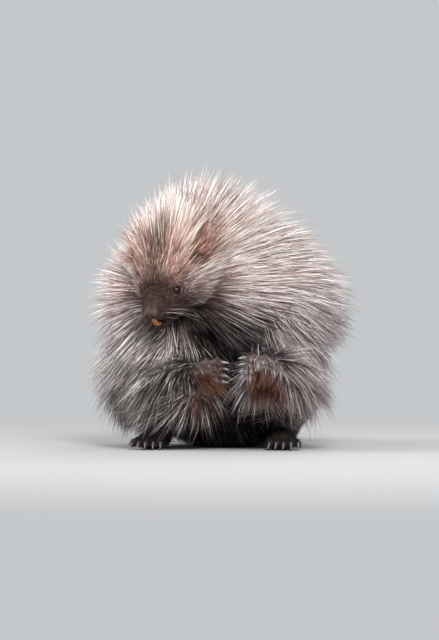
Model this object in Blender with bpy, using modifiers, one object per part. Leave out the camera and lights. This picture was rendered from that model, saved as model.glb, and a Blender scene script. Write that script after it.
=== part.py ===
# North American porcupine sitting on its haunches, life size.
#
# Every solid gives the outline of the animal out to the tips of its coat, so
# the trunk is a good deal fuller than the body under the hair, while the
# muzzle, paws and feet are close to the skin. The animal faces -Y with its
# head turned to its right and bowed, both forepaws raised in front of the
# chest, and it rests on its hind feet, rump and tail.
#
# Lengths below are in millimetres in a design frame that has its origin on the
# floor under the middle of the body; everything is turned into metres, and
# centred on its own plan, at the end.

import math

import bmesh
import bpy
from mathutils import Matrix, Vector

MM = 0.001
GAP = 0.45  # clearance between two neighbouring pieces

# ---- pose and head ---------------------------------------------------------
BETWEEN_EYES = Vector((-76.8, -111.0, 210.6))  # midpoint of the two eyeballs
HEAD_YAW = 22.0  # degrees the face turns to the animal's right
HEAD_PITCH = 38.0  # degrees the face bows
EYE_APART = 24.0  # each eyeball's centre, sideways from the midline
EYE_RADIUS = 5.0
NOSE_REACH = 45.0  # from the line of the eyes to the nose tip
TAIL_TIP_Y = 312.0

CLAW_FORE = 17.0  # length of a fore claw
CLAW_HIND = 20.0
FLOOR_CUT = 0.0

yaw, pitch = math.radians(HEAD_YAW), math.radians(HEAD_PITCH)
AHEAD_FLAT = Vector((-math.sin(yaw), -math.cos(yaw), 0.0))
FORWARD = AHEAD_FLAT * math.cos(pitch) - Vector((0, 0, math.sin(pitch)))
LEFT = Vector((math.cos(yaw), -math.sin(yaw), 0.0))
UP = AHEAD_FLAT * math.sin(pitch) + Vector((0, 0, math.cos(pitch)))


def in_head(f, l, u):
    """A point given forward, left and up of the midpoint between the eyes."""
    return BETWEEN_EYES + FORWARD * f + LEFT * l + UP * u


HEAD_TURN = Matrix((FORWARD, LEFT, UP)).transposed().to_4x4()

# ---- scene -----------------------------------------------------------------
for thing in list(bpy.data.objects):
    bpy.data.objects.remove(thing, do_unlink=True)

model = bpy.data.collections.new("porcupine")
helpers = bpy.data.collections.new("cutters")
bpy.context.scene.collection.children.link(model)
bpy.context.scene.collection.children.link(helpers)


def material(name, colour, roughness, metallic=0.0):
    made = bpy.data.materials.new(name)
    made.use_nodes = True
    shader = made.node_tree.nodes["Principled BSDF"]
    shader.inputs["Base Color"].default_value = (*colour, 1.0)
    shader.inputs["Roughness"].default_value = roughness
    shader.inputs["Metallic"].default_value = metallic
    made.diffuse_color = (*colour, 1.0)
    return made


COAT = material("coat", (0.20, 0.155, 0.135), 0.85)
CREST = material("crest", (0.42, 0.31, 0.26), 0.85)
FACE = material("face", (0.085, 0.065, 0.060), 0.75)
PAW = material("paw", (0.11, 0.085, 0.075), 0.75)
CLAW = material("claw", (0.10, 0.11, 0.13), 0.35)
TOOTH = material("tooth", (0.72, 0.27, 0.05), 0.35)
EYE = material("eye", (0.012, 0.010, 0.009), 0.06)


# ---- tools -----------------------------------------------------------------
def ball(at, radii, turn=None, rings=14):
    """An ellipsoid, as a bmesh."""
    bm = bmesh.new()
    bmesh.ops.create_uvsphere(bm, u_segments=rings * 2, v_segments=rings, radius=1.0)
    matrix = (
        Matrix.Translation(Vector(at))
        @ (turn.to_4x4() if turn is not None else Matrix.Identity(4))
        @ Matrix.Diagonal((*radii, 1.0))
    )
    bmesh.ops.transform(bm, matrix=matrix, verts=bm.verts)
    return bm


def head_ball(f, l, u, rf, rl, ru):
    return ball(in_head(f, l, u), (rf, rl, ru), HEAD_TURN)


def bone(stations, rings=10):
    """Tapered round limb through stations (x, y, z, radius), as bmeshes."""
    made = []
    for x, y, z, r in stations:
        made.append(ball((x, y, z), (r, r, r), rings=rings))
    for a, b in zip(stations, stations[1:]):
        p, q = Vector(a[:3]), Vector(b[:3])
        way = q - p
        if way.length < 1e-6:
            continue
        bm = bmesh.new()
        bmesh.ops.create_cone(
            bm,
            cap_ends=True,
            segments=rings * 2,
            radius1=a[3],
            radius2=b[3],
            depth=way.length,
        )
        matrix = (
            Matrix.Translation((p + q) / 2)
            @ way.to_track_quat("Z", "Y").to_matrix().to_4x4()
        )
        bmesh.ops.transform(bm, matrix=matrix, verts=bm.verts)
        made.append(bm)
    return made


def flat_list(shapes):
    for s in shapes:
        if isinstance(s, list):
            yield from flat_list(s)
        else:
            yield s


def new_object(name, mesh, collection):
    made = bpy.data.objects.new(name, mesh)
    collection.objects.link(made)
    return made


def settle(obj):
    """Applies the object's modifiers to its mesh."""
    graph = bpy.context.evaluated_depsgraph_get()
    graph.update()
    mesh = bpy.data.meshes.new_from_object(obj.evaluated_get(graph))
    obj.modifiers.clear()
    old = obj.data
    obj.data = mesh
    bpy.data.meshes.remove(old)
    return obj


def form(name, shapes, cell, smooth, faces, paint):
    """Overlapping round shapes melted into one smooth closed body."""
    joined = bmesh.new()
    for bm in flat_list(shapes):
        piece = bpy.data.meshes.new("piece")
        bm.to_mesh(piece)
        bm.free()
        joined.from_mesh(piece)
        bpy.data.meshes.remove(piece)
    mesh = bpy.data.meshes.new(name)
    joined.to_mesh(mesh)
    joined.free()
    obj = new_object(name, mesh, model)
    melt = obj.modifiers.new("melt", "REMESH")
    melt.mode = "VOXEL"
    melt.voxel_size = cell
    settle(obj)
    if smooth:
        relax = obj.modifiers.new("relax", "SMOOTH")
        relax.factor = 0.5
        relax.iterations = smooth
    settle(obj)
    fewer = obj.modifiers.new("fewer", "DECIMATE")
    fewer.ratio = min(1.0, faces / max(1, 2 * len(obj.data.polygons)))
    settle(obj)
    keep_largest(obj)
    obj.data.materials.clear()
    obj.data.materials.append(paint)
    return obj


def islands(bm):
    """The connected pieces of a mesh, largest volume first."""
    left, found = set(bm.faces), []
    while left:
        start = left.pop()
        group, edge = {start}, [start]
        while edge:
            face = edge.pop()
            for e in face.edges:
                for other in e.link_faces:
                    if other in left:
                        left.discard(other)
                        group.add(other)
                        edge.append(other)
        found.append(group)

    def volume(group):
        total = 0.0
        for face in group:
            c = [v.co for v in face.verts]
            for i in range(1, len(c) - 1):
                total += c[0].dot(c[i].cross(c[i + 1])) / 6.0
        return abs(total)

    return sorted(found, key=volume, reverse=True)


def keep_largest(obj):
    bm = bmesh.new()
    bm.from_mesh(obj.data)
    for group in islands(bm)[1:]:
        bmesh.ops.delete(bm, geom=list(group), context="FACES")
    bmesh.ops.delete(
        bm, geom=[v for v in bm.verts if not v.link_faces], context="VERTS"
    )
    bmesh.ops.triangulate(bm, faces=bm.faces)
    mend(bm)
    bmesh.ops.recalc_face_normals(bm, faces=bm.faces)
    bm.to_mesh(obj.data)
    bm.free()


def mend(bm):
    """Takes out the folded slivers of a cut and closes what they leave open."""
    for _ in range(6):
        for e in [e for e in bm.edges if len(e.link_faces) > 2]:
            if not e.is_valid:
                continue
            spare = sorted(e.link_faces, key=lambda f: f.calc_area())
            bmesh.ops.delete(bm, geom=spare[: len(spare) - 2], context="FACES_ONLY")
        bmesh.ops.delete(bm, geom=[e for e in bm.edges if not e.link_faces], context="EDGES")
        bmesh.ops.delete(bm, geom=[v for v in bm.verts if not v.link_faces], context="VERTS")
        rim = [e for e in bm.edges if e.is_boundary]
        if not rim and all(len(e.link_faces) == 2 for e in bm.edges):
            break
        bmesh.ops.holes_fill(bm, edges=rim, sides=0)
        bmesh.ops.triangulate(bm, faces=[f for f in bm.faces if len(f.verts) > 3])


def swollen(mesh, by):
    """A copy of a body grown outwards by a clearance, to cut its neighbour."""
    copy = new_object("grown", mesh.copy(), helpers)
    copy.hide_render = True
    copy.display_type = "WIRE"
    bm = bmesh.new()
    bm.from_mesh(copy.data)
    bm.normal_update()
    moves = {}
    for v in bm.verts:
        # A sharp rim needs a longer step to keep the clearance on its flats.
        least = min((v.normal.dot(f.normal) for f in v.link_faces), default=1.0)
        moves[v] = v.normal * (by / max(0.45, least))
    for v, step in moves.items():
        v.co += step
    bm.to_mesh(copy.data)
    bm.free()
    return copy


def boxes_meet(a, b, margin):
    def span(mesh):
        points = [v.co for v in mesh.vertices]
        return [
            (min(p[k] for p in points) - margin, max(p[k] for p in points) + margin)
            for k in range(3)
        ]

    return all(
        p[0] <= q[1] and q[0] <= p[1] for p, q in zip(span(a), span(b))
    )


def subtract(target, whole, by=GAP):
    """Cuts a grown copy of one whole form out of a body, so that they meet."""
    if not boxes_meet(target.data, whole, by):
        return
    tool = swollen(whole, by)
    cut = target.modifiers.new("cut", "BOOLEAN")
    cut.operation = "DIFFERENCE"
    cut.solver = "EXACT"
    cut.object = tool
    settle(target)
    bpy.data.objects.remove(tool, do_unlink=True)
    keep_largest(target)


def halve(obj, at, normal, keep_front):
    """Cuts a body with a plane and closes it."""
    bm = bmesh.new()
    bm.from_mesh(obj.data)
    way = Vector(normal).normalized() * (1 if keep_front else -1)
    bmesh.ops.bisect_plane(
        bm,
        geom=bm.verts[:] + bm.edges[:] + bm.faces[:],
        dist=1e-4,
        plane_co=Vector(at),
        plane_no=way,
        clear_inner=True,
    )
    rim = [e for e in bm.edges if e.is_boundary]
    if rim:
        bmesh.ops.holes_fill(bm, edges=rim, sides=0)
    bm.to_mesh(obj.data)
    bm.free()
    keep_largest(obj)


def thin_out(obj, faces):
    """Takes the slivers that cutting leaves out of a mesh."""
    if len(obj.data.polygons) <= faces:
        return
    fewer = obj.modifiers.new("fewer", "DECIMATE")
    fewer.ratio = faces / len(obj.data.polygons)
    settle(obj)
    for v in obj.data.vertices:  # what rests on the floor stays flat
        if v.co.z < FLOOR_CUT + 0.35:
            v.co.z = FLOOR_CUT
    keep_largest(obj)


def shared_volume(a, b):
    """How much two bodies run into each other, in cubic millimetres."""
    if not boxes_meet(a.data, b.data, 0.0):
        return 0.0
    probe = new_object("probe", a.data.copy(), helpers)
    both = probe.modifiers.new("both", "BOOLEAN")
    both.operation = "INTERSECT"
    both.solver = "EXACT"
    both.object = b
    settle(probe)
    bm = bmesh.new()
    bm.from_mesh(probe.data)
    volume = abs(bm.calc_volume()) if bm.faces else 0.0
    bm.free()
    bpy.data.objects.remove(probe, do_unlink=True)
    return volume


def part_by_plane(obj, front_name, at, normal, gap=GAP):
    """Splits a body in two with a thin cut. The new object is the front one."""
    way = Vector(normal).normalized()
    front = new_object(front_name, obj.data.copy(), model)
    halve(front, Vector(at) + way * gap / 2, way, True)
    halve(obj, Vector(at) - way * gap / 2, way, False)
    return front


def horn(name, root, tip, bow, thick, end, paint):
    """A curved tapering horn piece, such as a claw or an incisor."""
    a, c = Vector(root), Vector(tip)
    b = (a + c) / 2 + Vector(bow)
    line = bpy.data.curves.new(name, "CURVE")
    line.dimensions = "3D"
    line.bevel_depth = 1.0
    line.bevel_resolution = 1
    line.use_fill_caps = True
    line.twist_mode = "MINIMUM"
    spline = line.splines.new("POLY")
    steps = 4
    spline.points.add(steps)
    for i in range(steps + 1):
        t = i / steps
        p = a * (1 - t) ** 2 + b * 2 * t * (1 - t) + c * t * t
        spline.points[i].co = (*p, 1.0)
        spline.points[i].radius = thick + (end - thick) * t**1.35
    curve = bpy.data.objects.new(name + ".line", line)
    helpers.objects.link(curve)
    graph = bpy.context.evaluated_depsgraph_get()
    graph.update()
    mesh = bpy.data.meshes.new_from_object(curve.evaluated_get(graph))
    bpy.data.objects.remove(curve, do_unlink=True)
    bm = bmesh.new()
    bm.from_mesh(mesh)
    bmesh.ops.remove_doubles(bm, verts=bm.verts, dist=0.01)
    bmesh.ops.recalc_face_normals(bm, faces=bm.faces)
    bm.to_mesh(mesh)
    bm.free()
    mesh.materials.clear()
    mesh.materials.append(paint)
    return new_object(name, mesh, model)


# ---- head ------------------------------------------------------------------
head = form(
    "head",
    [
        head_ball(-31, 0, 2, 36, 35, 33),  # cranium under short hair
        head_ball(-44, 0, 26, 42, 41, 44),  # crest standing on the crown
        head_ball(-15, 0, 8, 25, 29, 22),  # brow
        [head_ball(-20, s * 19, -13, 27, 25, 25) for s in (-1, 1)],  # cheeks
        [head_ball(-33, s * 28, -12, 27, 27, 31) for s in (-1, 1)],  # cheek ruff
        [head_ball(-16, s * 21, -25, 25, 22, 19) for s in (-1, 1)],  # jowls
        head_ball(8, 0, -4, 26, 21.5, 16.5),  # bridge
        head_ball(25, 0, -10, 20.5, 17, 14.5),  # nose
        [head_ball(21, s * 9.5, -16.5, 19, 12.5, 12) for s in (-1, 1)],  # whisker pads
        head_ball(-16, 0, -34, 26, 26, 15),  # throat
    ],
    cell=2.6,
    smooth=5,
    faces=860,
    paint=FACE,
)

jaw = form(
    "jaw",
    [
        head_ball(15, 0, -38.5, 18.5, 13.5, 8),
        head_ball(0, 0, -38, 22, 20, 12),
    ],
    cell=2.0,
    smooth=3,
    faces=240,
    paint=FACE,
)

# ---- trunk and neck --------------------------------------------------------
trunk = form(
    "trunk",
    [
        ball((0, 30, 205), (156, 136, 150)),  # barrel and shoulder hump
        ball((-8, 65, 118), (146, 126, 124)),  # rump
        ball((0, -8, 110), (110, 86, 100)),  # belly
        ball((-78, 12, 108), (108, 106, 98)),  # right flank
        ball((76, 18, 192), (97, 108, 94)),  # left flank
        ball((-80, 0, 205), (105, 92, 100)),  # right shoulder
        ball((-4, 60, 162), (150, 124, 112)),  # loin
        ball((0, 78, 30), (96, 88, 44)),  # seat
    ],
    cell=6.5,
    smooth=6,
    faces=720,
    paint=COAT,
)
neck = form(
    "neck",
    [
        ball((-22, -6, 263), (125, 90, 112)),  # raised hair of the nape
        ball((-62, -36, 232), (86, 58, 80)),
    ],
    cell=6.0,
    smooth=5,
    faces=360,
    paint=CREST,
)
tail = form(
    "tail",
    [
        bone(
            [
                (0, 138, 66, 58),
                (-6, 196, 46, 48),
                (-16, 252, 33, 38),
                (-24, 294, 24, 28),
                (-27, TAIL_TIP_Y, 20, 21),
            ]
        )
    ],
    cell=5.0,
    smooth=5,
    faces=230,
    paint=COAT,
)

# ---- limbs -----------------------------------------------------------------
# Joints of each limb as (x, y, z, radius out to the coat).
ARMS = {
    "l": dict(
        shoulder=(66, -22, 174, 52),
        elbow=(84, -66, 97, 38),
        wrist=(67, -121, 104, 29),
        palm=(58.5, -140.5, 110),
        reach=-1.0,
    ),
    "r": dict(
        shoulder=(-80, -20, 168, 52),
        elbow=(-66, -72, 88, 39),
        wrist=(-30, -124, 94, 28),
        palm=(-13, -141, 104),
        reach=1.0,
    ),
}
LEGS = {
    "l": dict(
        hip=(60, 48, 84, 70), knee=(88, -48, 76, 45), ankle=(78, 4, 28, 24), side=1
    ),
    "r": dict(
        hip=(-72, 46, 86, 76), knee=(-102, -46, 80, 49), ankle=(-88, 4, 28, 24), side=-1
    ),
}
FINGERS = (12.5, 4.4, -4.2, -12.0)  # heights of the fingers about the palm
TOES = (-16.5, -8.5, 0.0, 8.5, 16.5)  # across the hind foot

nodes = {"head": head, "trunk": trunk, "neck": neck, "tail": tail}
claws = []

for side, arm in ARMS.items():
    s, e, w = arm["shoulder"], arm["elbow"], arm["wrist"]
    mid = tuple((a + b) / 2 for a, b in zip(s, e))
    upper = form(
        f"upper_arm_{side}", [bone([s, mid, e])], cell=4.6, smooth=4, faces=170, paint=COAT
    )
    elbow, wrist = Vector(e[:3]), Vector(w[:3])
    fore = form(
        f"forearm_{side}",
        [bone([e, tuple((a + b) / 2 for a, b in zip(e, w)), w])],
        cell=3.6,
        smooth=4,
        faces=150,
        paint=COAT,
    )
    # Two straight cuts: the elbow, and the wrist.
    fold = ((elbow - Vector(s[:3])).normalized() + (wrist - elbow).normalized()).normalized()
    halve(fore, elbow + fold * GAP / 2, fold, True)
    halve(upper, elbow - fold * GAP / 2, fold, False)
    along = (wrist - elbow).normalized()
    halve(fore, wrist - along * GAP / 2, along, False)

    px, py, pz = arm["palm"]
    r = arm["reach"]
    shapes = [
        ball((px, py, pz), (13, 8.5, 16.5)),
        bone([(w[0], w[1], w[2] + 4, 12.5), (px, py, pz, 10.5)], rings=8),
    ]
    for k, z in enumerate(FINGERS):
        knuckle = Vector((px + r * 7, py - 2.5, pz + z * 0.82))
        tip = Vector((px + r * 16.0, py - 1.0, pz + z))
        shapes.append(bone([(*knuckle, 5.0), (*tip, 4.0)], rings=7))
        claw_root = tip + Vector((r * 0.5, 0.2, -0.2))
        claw_tip = claw_root + Vector((r * CLAW_FORE * 0.80, CLAW_FORE * 0.42, -1.5 - 0.5 * k))
        claws.append(
            horn(
                f"claw_fore_{side}{k + 1}",
                claw_root,
                claw_tip,
                (r * 1.6, -CLAW_FORE * 0.20, 1.2),
                2.25,
                0.5,
                CLAW,
            )
        )
    hand = form(f"hand_{side}", shapes, cell=1.7, smooth=2, faces=330, paint=PAW)
    halve(hand, wrist + along * GAP / 2, along, True)
    nodes[f"upper_arm_{side}"] = upper
    nodes[f"forearm_{side}"] = fore
    nodes[f"hand_{side}"] = hand

for side, leg in LEGS.items():
    h, k, a = leg["hip"], leg["knee"], leg["ankle"]
    mid = tuple((p + q) / 2 for p, q in zip(h, k))
    thigh = form(f"thigh_{side}", [bone([h, mid, k])], cell=5.0, smooth=4, faces=190, paint=COAT)
    shank = form(f"shank_{side}", [bone([k[:3] + (40,), a])], cell=4.0, smooth=4, faces=130, paint=COAT)
    # The foot lies flat, its heel under the shank and its toes ahead.
    out = leg["side"]
    ax = a[0]
    shapes = [
        bone([(ax, 6, 15, 14), (ax + out * 2, -34, 15.5, 16), (ax + out * 5, -72, 14, 15)], rings=9),
        ball((ax + out * 5, -72, 12), (23, 17, 12)),
        ball((ax + out * 1.5, -26, 12), (19, 36, 13)),
    ]
    for n, across in enumerate(TOES):
        reach = -101.0 + abs(across - out * 1.5) * 0.42
        root = Vector((ax + out * 5 + across * 0.95, -77, 11.0))
        tip = Vector((ax + out * 8 + across * 1.12, reach, 8.6))
        shapes.append(bone([(*root, 7.2), (*tip, 5.2)], rings=7))
        claw_root = tip + Vector((0, -1.5, 0.8))
        claw_tip = claw_root + Vector((across * 0.10, -CLAW_HIND * 0.93, -7.0))
        claws.append(
            horn(
                f"claw_hind_{side}{n + 1}",
                claw_root,
                claw_tip,
                (0, -1.0, CLAW_HIND * 0.20),
                2.6,
                0.6,
                CLAW,
            )
        )
    foot = form(f"foot_{side}", shapes, cell=2.0, smooth=2, faces=380, paint=PAW)
    nodes[f"thigh_{side}"] = thigh
    nodes[f"shank_{side}"] = shank
    nodes[f"foot_{side}"] = foot

# ---- eyes, ears, teeth -----------------------------------------------------
small = []
for side, s in (("l", 1), ("r", -1)):
    mesh = bpy.data.meshes.new(f"eye_{side}")
    bm = ball(in_head(0, s * EYE_APART, 0), (EYE_RADIUS,) * 3, HEAD_TURN, rings=8)
    bm.to_mesh(mesh)
    bm.free()
    mesh.materials.append(EYE)
    nodes[f"eye_{side}"] = new_object(f"eye_{side}", mesh, model)
    nodes[f"eye_{side}"].data.shade_smooth()

    lean = HEAD_TURN.to_3x3() @ Matrix.Rotation(math.radians(s * 32), 3, "X") @ Matrix.Rotation(
        math.radians(-28), 3, "Y"
    )
    nodes[f"ear_{side}"] = form(
        f"ear_{side}",
        [
            ball(in_head(-46, s * 41, 22), (5.2, 13.5, 15.5), lean),
            ball(in_head(-43, s * 37, 17), (7.0, 9.0, 9.0), lean),
        ],
        cell=1.8,
        smooth=2,
        faces=120,
        paint=FACE,
    )

# The mouth is a little open on the orange incisors.
halve(head, in_head(-66, 0, 0), FORWARD, True)
whole_head = head.data.copy()
nodes["muzzle"] = part_by_plane(head, "muzzle", in_head(11, 0, 0), FORWARD)
nodes["jaw"] = jaw

for name, root, tip, bow, thick, end in (
    ("incisors_upper", in_head(34.0, 0, -19), in_head(33.0, 0, -34), FORWARD * 2.4, 3.9, 2.6),
    ("incisors_lower", in_head(23.0, 0, -40), in_head(28.0, 0, -30.5), FORWARD * 1.4, 3.2, 2.1),
):
    nodes[name] = horn(name, root, tip, bow, thick, end, TOOTH)

for c in claws:
    nodes[c.name] = c

# ---- parting ---------------------------------------------------------------
# The deep ends of the forms are cut off flat inside their neighbours.
halve(nodes["neck"], (0, 0, 186), (0, 0, 1), True)
halve(nodes["tail"], (0, 158, 50), (0, 1, -0.12), True)
for side, s in (("l", 1), ("r", -1)):
    shoulder, hip = ARMS[side]["shoulder"], LEGS[side]["hip"]
    halve(nodes[f"upper_arm_{side}"], (shoulder[0] - s * 20, -22, 180), (s * 0.62, -0.78, 0), True)
    halve(nodes[f"thigh_{side}"], (hip[0] - s * 22, 26, 80), (s * 0.8, -0.6, 0), True)

# Each piece is cut back by the whole form of every piece that comes before it
# in this order.
order = (
    ["eye_l", "eye_r", "incisors_upper", "incisors_lower"]
    + [c.name for c in claws]
    + ["ear_l", "ear_r", "jaw", "muzzle", "hand_l", "hand_r", "foot_l", "foot_r", "head"]
    + ["forearm_l", "forearm_r", "upper_arm_l", "upper_arm_r"]
    + ["shank_l", "shank_r", "thigh_l", "thigh_r", "tail", "neck", "trunk"]
)
for name in ("foot_l", "foot_r", "tail", "trunk", "shank_l", "shank_r", "thigh_l", "thigh_r"):
    halve(nodes[name], (0, 0, FLOOR_CUT), (0, 0, 1), True)
for c in claws:
    if min(v.co.z for v in c.data.vertices) < 0.3:
        halve(c, (0, 0, FLOOR_CUT), (0, 0, 1), True)

whole = {name: obj.data.copy() for name, obj in nodes.items()}
whole["head"] = whole_head


def bulk(name):
    """Size of a whole form: the largest ones cut first."""
    points = [v.co for v in whole[name].vertices]
    return max((a - points[0]).length for a in points)


for i, name in enumerate(order):
    for before in sorted(order[:i], key=bulk, reverse=True):
        if before == "muzzle":  # the whole head form stands for it
            continue
        if name.startswith("claw") and before.startswith("claw"):
            continue
        shaggy = name in ("trunk", "neck") or name[:-2] in ("thigh", "shank", "upper_arm")
        subtract(nodes[name], whole[before], GAP * (2.0 if shaggy else 1.4))

LIMITS = {"trunk": 1600, "neck": 700, "head": 1000, "muzzle": 360, "jaw": 300}
LIMITS.update({f"thigh_{s}": 370 for s in "lr"})
LIMITS.update({f"shank_{s}": 250 for s in "lr"})
LIMITS.update({f"upper_arm_{s}": 260 for s in "lr"})
LIMITS.update({f"forearm_{s}": 210 for s in "lr"})
LIMITS.update({f"hand_{s}": 350 for s in "lr"})
LIMITS.update({f"foot_{s}": 390 for s in "lr"})
for name in order:
    if name not in LIMITS:
        continue
    obj = nodes[name]
    uncut = obj.data.copy()
    for more in (1.0, 1.2, 1.45, 1.8, 2.3, 9.0):
        obj.data = uncut.copy()
        thin_out(obj, int(LIMITS[name] * more))
        if all(shared_volume(obj, nodes[n]) < 1e-3 for n in order if n != name):
            break
    print("thinned", name, len(uncut.polygons), len(obj.data.polygons), more)

# ---- place -----------------------------------------------------------------
graph = bpy.context.evaluated_depsgraph_get()
graph.update()
points = [v.co for n in nodes.values() for v in n.data.vertices]
low = Vector((min(p[k] for p in points) for k in range(3)))
high = Vector((max(p[k] for p in points) for k in range(3)))
shift = Vector((-(low.x + high.x) / 2, -(low.y + high.y) / 2, -low.z))
place = Matrix.Diagonal((MM, MM, MM, 1.0)) @ Matrix.Translation(shift)
for obj in nodes.values():
    obj.data.transform(place)
    obj.data.shade_smooth()
    obj.data.set_sharp_from_angle(angle=math.radians(40))
    obj.data.update()
print("plan shift (mm):", [round(x, 3) for x in shift])
print("size (mm):", [round(x, 1) for x in (high - low)])
print("triangles:", sum(len(o.data.polygons) for o in nodes.values()))
for n, o in nodes.items():
    print("  ", n, len(o.data.polygons))
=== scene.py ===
# Looks of the sitting North American porcupine.
#
# One skin, grown from a smooth field of rounded forms, lies under the coat of
# the whole animal. Over it stands the coat: many thousands of thin closed
# hairs and locks, each with its own root, lie, length and colour. The design
# frame is in millimetres, as in the solids: floor at z = 0, face towards -Y.

import math

import bmesh
import bpy
import numpy as np
from mathutils import Matrix, Vector

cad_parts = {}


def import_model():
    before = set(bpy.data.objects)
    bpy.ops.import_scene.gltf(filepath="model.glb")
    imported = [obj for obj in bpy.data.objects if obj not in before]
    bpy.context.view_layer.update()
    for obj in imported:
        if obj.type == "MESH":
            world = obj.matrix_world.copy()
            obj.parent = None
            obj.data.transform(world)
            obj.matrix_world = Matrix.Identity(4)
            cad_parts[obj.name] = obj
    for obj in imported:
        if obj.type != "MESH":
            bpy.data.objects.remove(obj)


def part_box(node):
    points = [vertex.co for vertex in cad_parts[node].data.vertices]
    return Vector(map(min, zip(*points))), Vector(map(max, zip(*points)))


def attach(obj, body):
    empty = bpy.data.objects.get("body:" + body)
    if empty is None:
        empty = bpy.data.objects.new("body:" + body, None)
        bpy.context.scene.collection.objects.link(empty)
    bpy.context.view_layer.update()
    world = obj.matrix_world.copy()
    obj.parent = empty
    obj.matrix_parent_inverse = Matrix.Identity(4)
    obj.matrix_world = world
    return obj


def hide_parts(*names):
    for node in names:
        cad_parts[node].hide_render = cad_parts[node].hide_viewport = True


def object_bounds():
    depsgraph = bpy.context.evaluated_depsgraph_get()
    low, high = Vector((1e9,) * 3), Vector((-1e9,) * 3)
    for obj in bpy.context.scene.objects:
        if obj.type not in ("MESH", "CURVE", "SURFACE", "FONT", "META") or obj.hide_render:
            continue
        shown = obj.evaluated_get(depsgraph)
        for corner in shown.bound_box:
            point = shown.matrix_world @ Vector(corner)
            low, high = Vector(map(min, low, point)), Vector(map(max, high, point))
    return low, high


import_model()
cad_box = [list(map(float, corner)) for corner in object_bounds()]

SEED = 20261
rng = np.random.default_rng(SEED)
MM = 0.001

# ---- frame of the design ----------------------------------------------------
BETWEEN_EYES = np.array([-76.8, -111.0, 210.6])
HEAD_YAW, HEAD_PITCH = math.radians(22.0), math.radians(38.0)
EYE_APART, EYE_RADIUS = 24.0, 5.5

_flat = np.array([-math.sin(HEAD_YAW), -math.cos(HEAD_YAW), 0.0])
F_AX = _flat * math.cos(HEAD_PITCH) - np.array([0, 0, math.sin(HEAD_PITCH)])
L_AX = np.array([math.cos(HEAD_YAW), -math.sin(HEAD_YAW), 0.0])
U_AX = _flat * math.sin(HEAD_PITCH) + np.array([0, 0, math.cos(HEAD_PITCH)])
HEAD = np.stack([F_AX, L_AX, U_AX])  # rows: forward, left, up


def in_head(f, l, u):
    return BETWEEN_EYES + F_AX * f + L_AX * l + U_AX * u


def to_head(p):
    return (p - BETWEEN_EYES) @ HEAD.T


_low, _high = (np.array(c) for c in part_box("eye_l"))
SHIFT = (_low + _high) / 2 / MM - in_head(0, EYE_APART, 0)


def world(p):
    """Design millimetres to metres in the model's frame."""
    return (np.asarray(p) + SHIFT) * MM


def unit(v):
    return v / np.maximum(np.linalg.norm(v, axis=-1, keepdims=True), 1e-9)


def ramp(x, a, b):
    """Smooth step from 0 at a to 1 at b."""
    t = np.clip((x - a) / (b - a), 0.0, 1.0)
    return t * t * (3 - 2 * t)


# ---- forms under the coat -----------------------------------------------------
# Each is an ellipsoid (centre, radii, axes) or a tapered limb (ends, radii),
# with the width over which it melts into its neighbours.
BALLS, LIMBS = [], []
GROUP = ["trunk"]  # what the next forms belong to


def ball(c, r, melt=14.0, axes=None):
    BALLS.append((np.array(c, float), np.array(r, float), axes, melt, GROUP[0]))


def head_ball(f, l, u, rf, rl, ru, melt=5.0, both=True):
    for s in (1, -1) if (l and both) else (1,):
        ball(in_head(f, s * l, u), (rf, rl, ru), melt, HEAD)


def limb(a, ra, b, rb, melt=10.0):
    LIMBS.append((np.array(a, float), ra, np.array(b, float), rb, melt, GROUP[0]))


def limbs(stations, melt=10.0):
    for a, b in zip(stations, stations[1:]):
        limb(a[:3], a[3], b[:3], b[3], melt)


# trunk
ball((-2, 62, 86), (106, 90, 84), 20)
ball((0, 0, 102), (94, 80, 84), 20)
ball((0, 44, 160), (98, 88, 88), 20)
ball((-4, -2, 208), (86, 76, 76), 20)
ball((-66, 6, 118), (66, 70, 66), 24)
ball((50, 22, 188), (72, 76, 68), 24)
ball((-52, 4, 202), (74, 66, 68), 24)
ball((-20, -2, 238), (84, 62, 64), 22)
ball((-8, 44, 202), (86, 74, 72), 26)
GROUP[0] = "neck"
limb((-25, -32, 228), 58, (-54, -64, 234), 40, 18)
ball((-10, -48, 220), (50, 40, 50), 18)
ball((-60, -42, 214), (46, 38, 50), 18)
GROUP[0] = "tail"
limbs([(0, 138, 50, 38), (-6, 196, 35, 31), (-16, 252, 23.5, 22), (-24, 292, 16, 15), (-27, 300, 13, 12)], 12)

ARMS = {
    1: dict(shoulder=(58, -28, 178, 38), elbow=(82, -64, 97, 26), wrist=(67, -121, 108, 13.5), palm=(58.5, -140.5, 110), reach=-1.0),
    -1: dict(shoulder=(-72, -26, 172, 38), elbow=(-66, -70, 88, 26), wrist=(-30, -124, 98, 13.5), palm=(-13, -141, 104), reach=1.0),
}
LEGS = {
    1: dict(hip=(56, 50, 82, 56), knee=(86, -42, 74, 34), ankle=(78, 4, 27, 15.5)),
    -1: dict(hip=(-62, 48, 84, 58), knee=(-98, -40, 78, 36), ankle=(-88, 4, 27, 15.5)),
}
FINGERS = (12.5, 4.4, -4.2, -12.0)
TOES = (-16.5, -8.5, 0.0, 8.5, 16.5)
CLAW_FORE = 17.0

for s, arm in ARMS.items():
    GROUP[0] = "arm"
    limbs([arm["shoulder"], arm["elbow"]], 12)
    limbs([arm["elbow"], arm["wrist"]], 9)
    GROUP[0] = "hand"
    px, py, pz = arm["palm"]
    r = arm["reach"]
    ball((px, py + 0.6, pz), (12, 7.4, 15.2), 4.0)
    limb(arm["wrist"][:3], 11, (px, py, pz), 9.0, 5.0)
    for z in FINGERS:
        knuckle = np.array([px + r * 7, py - 2.0, pz + z * 0.82])
        mid = np.array([px + r * 12.0, py - 2.8, pz + z * 0.95])
        tip = np.array([px + r * 16.0, py - 1.0, pz + z])
        limb(knuckle, 4.3, mid, 3.9, 1.6)
        limb(mid, 3.7, tip, 3.2, 1.2)

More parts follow.
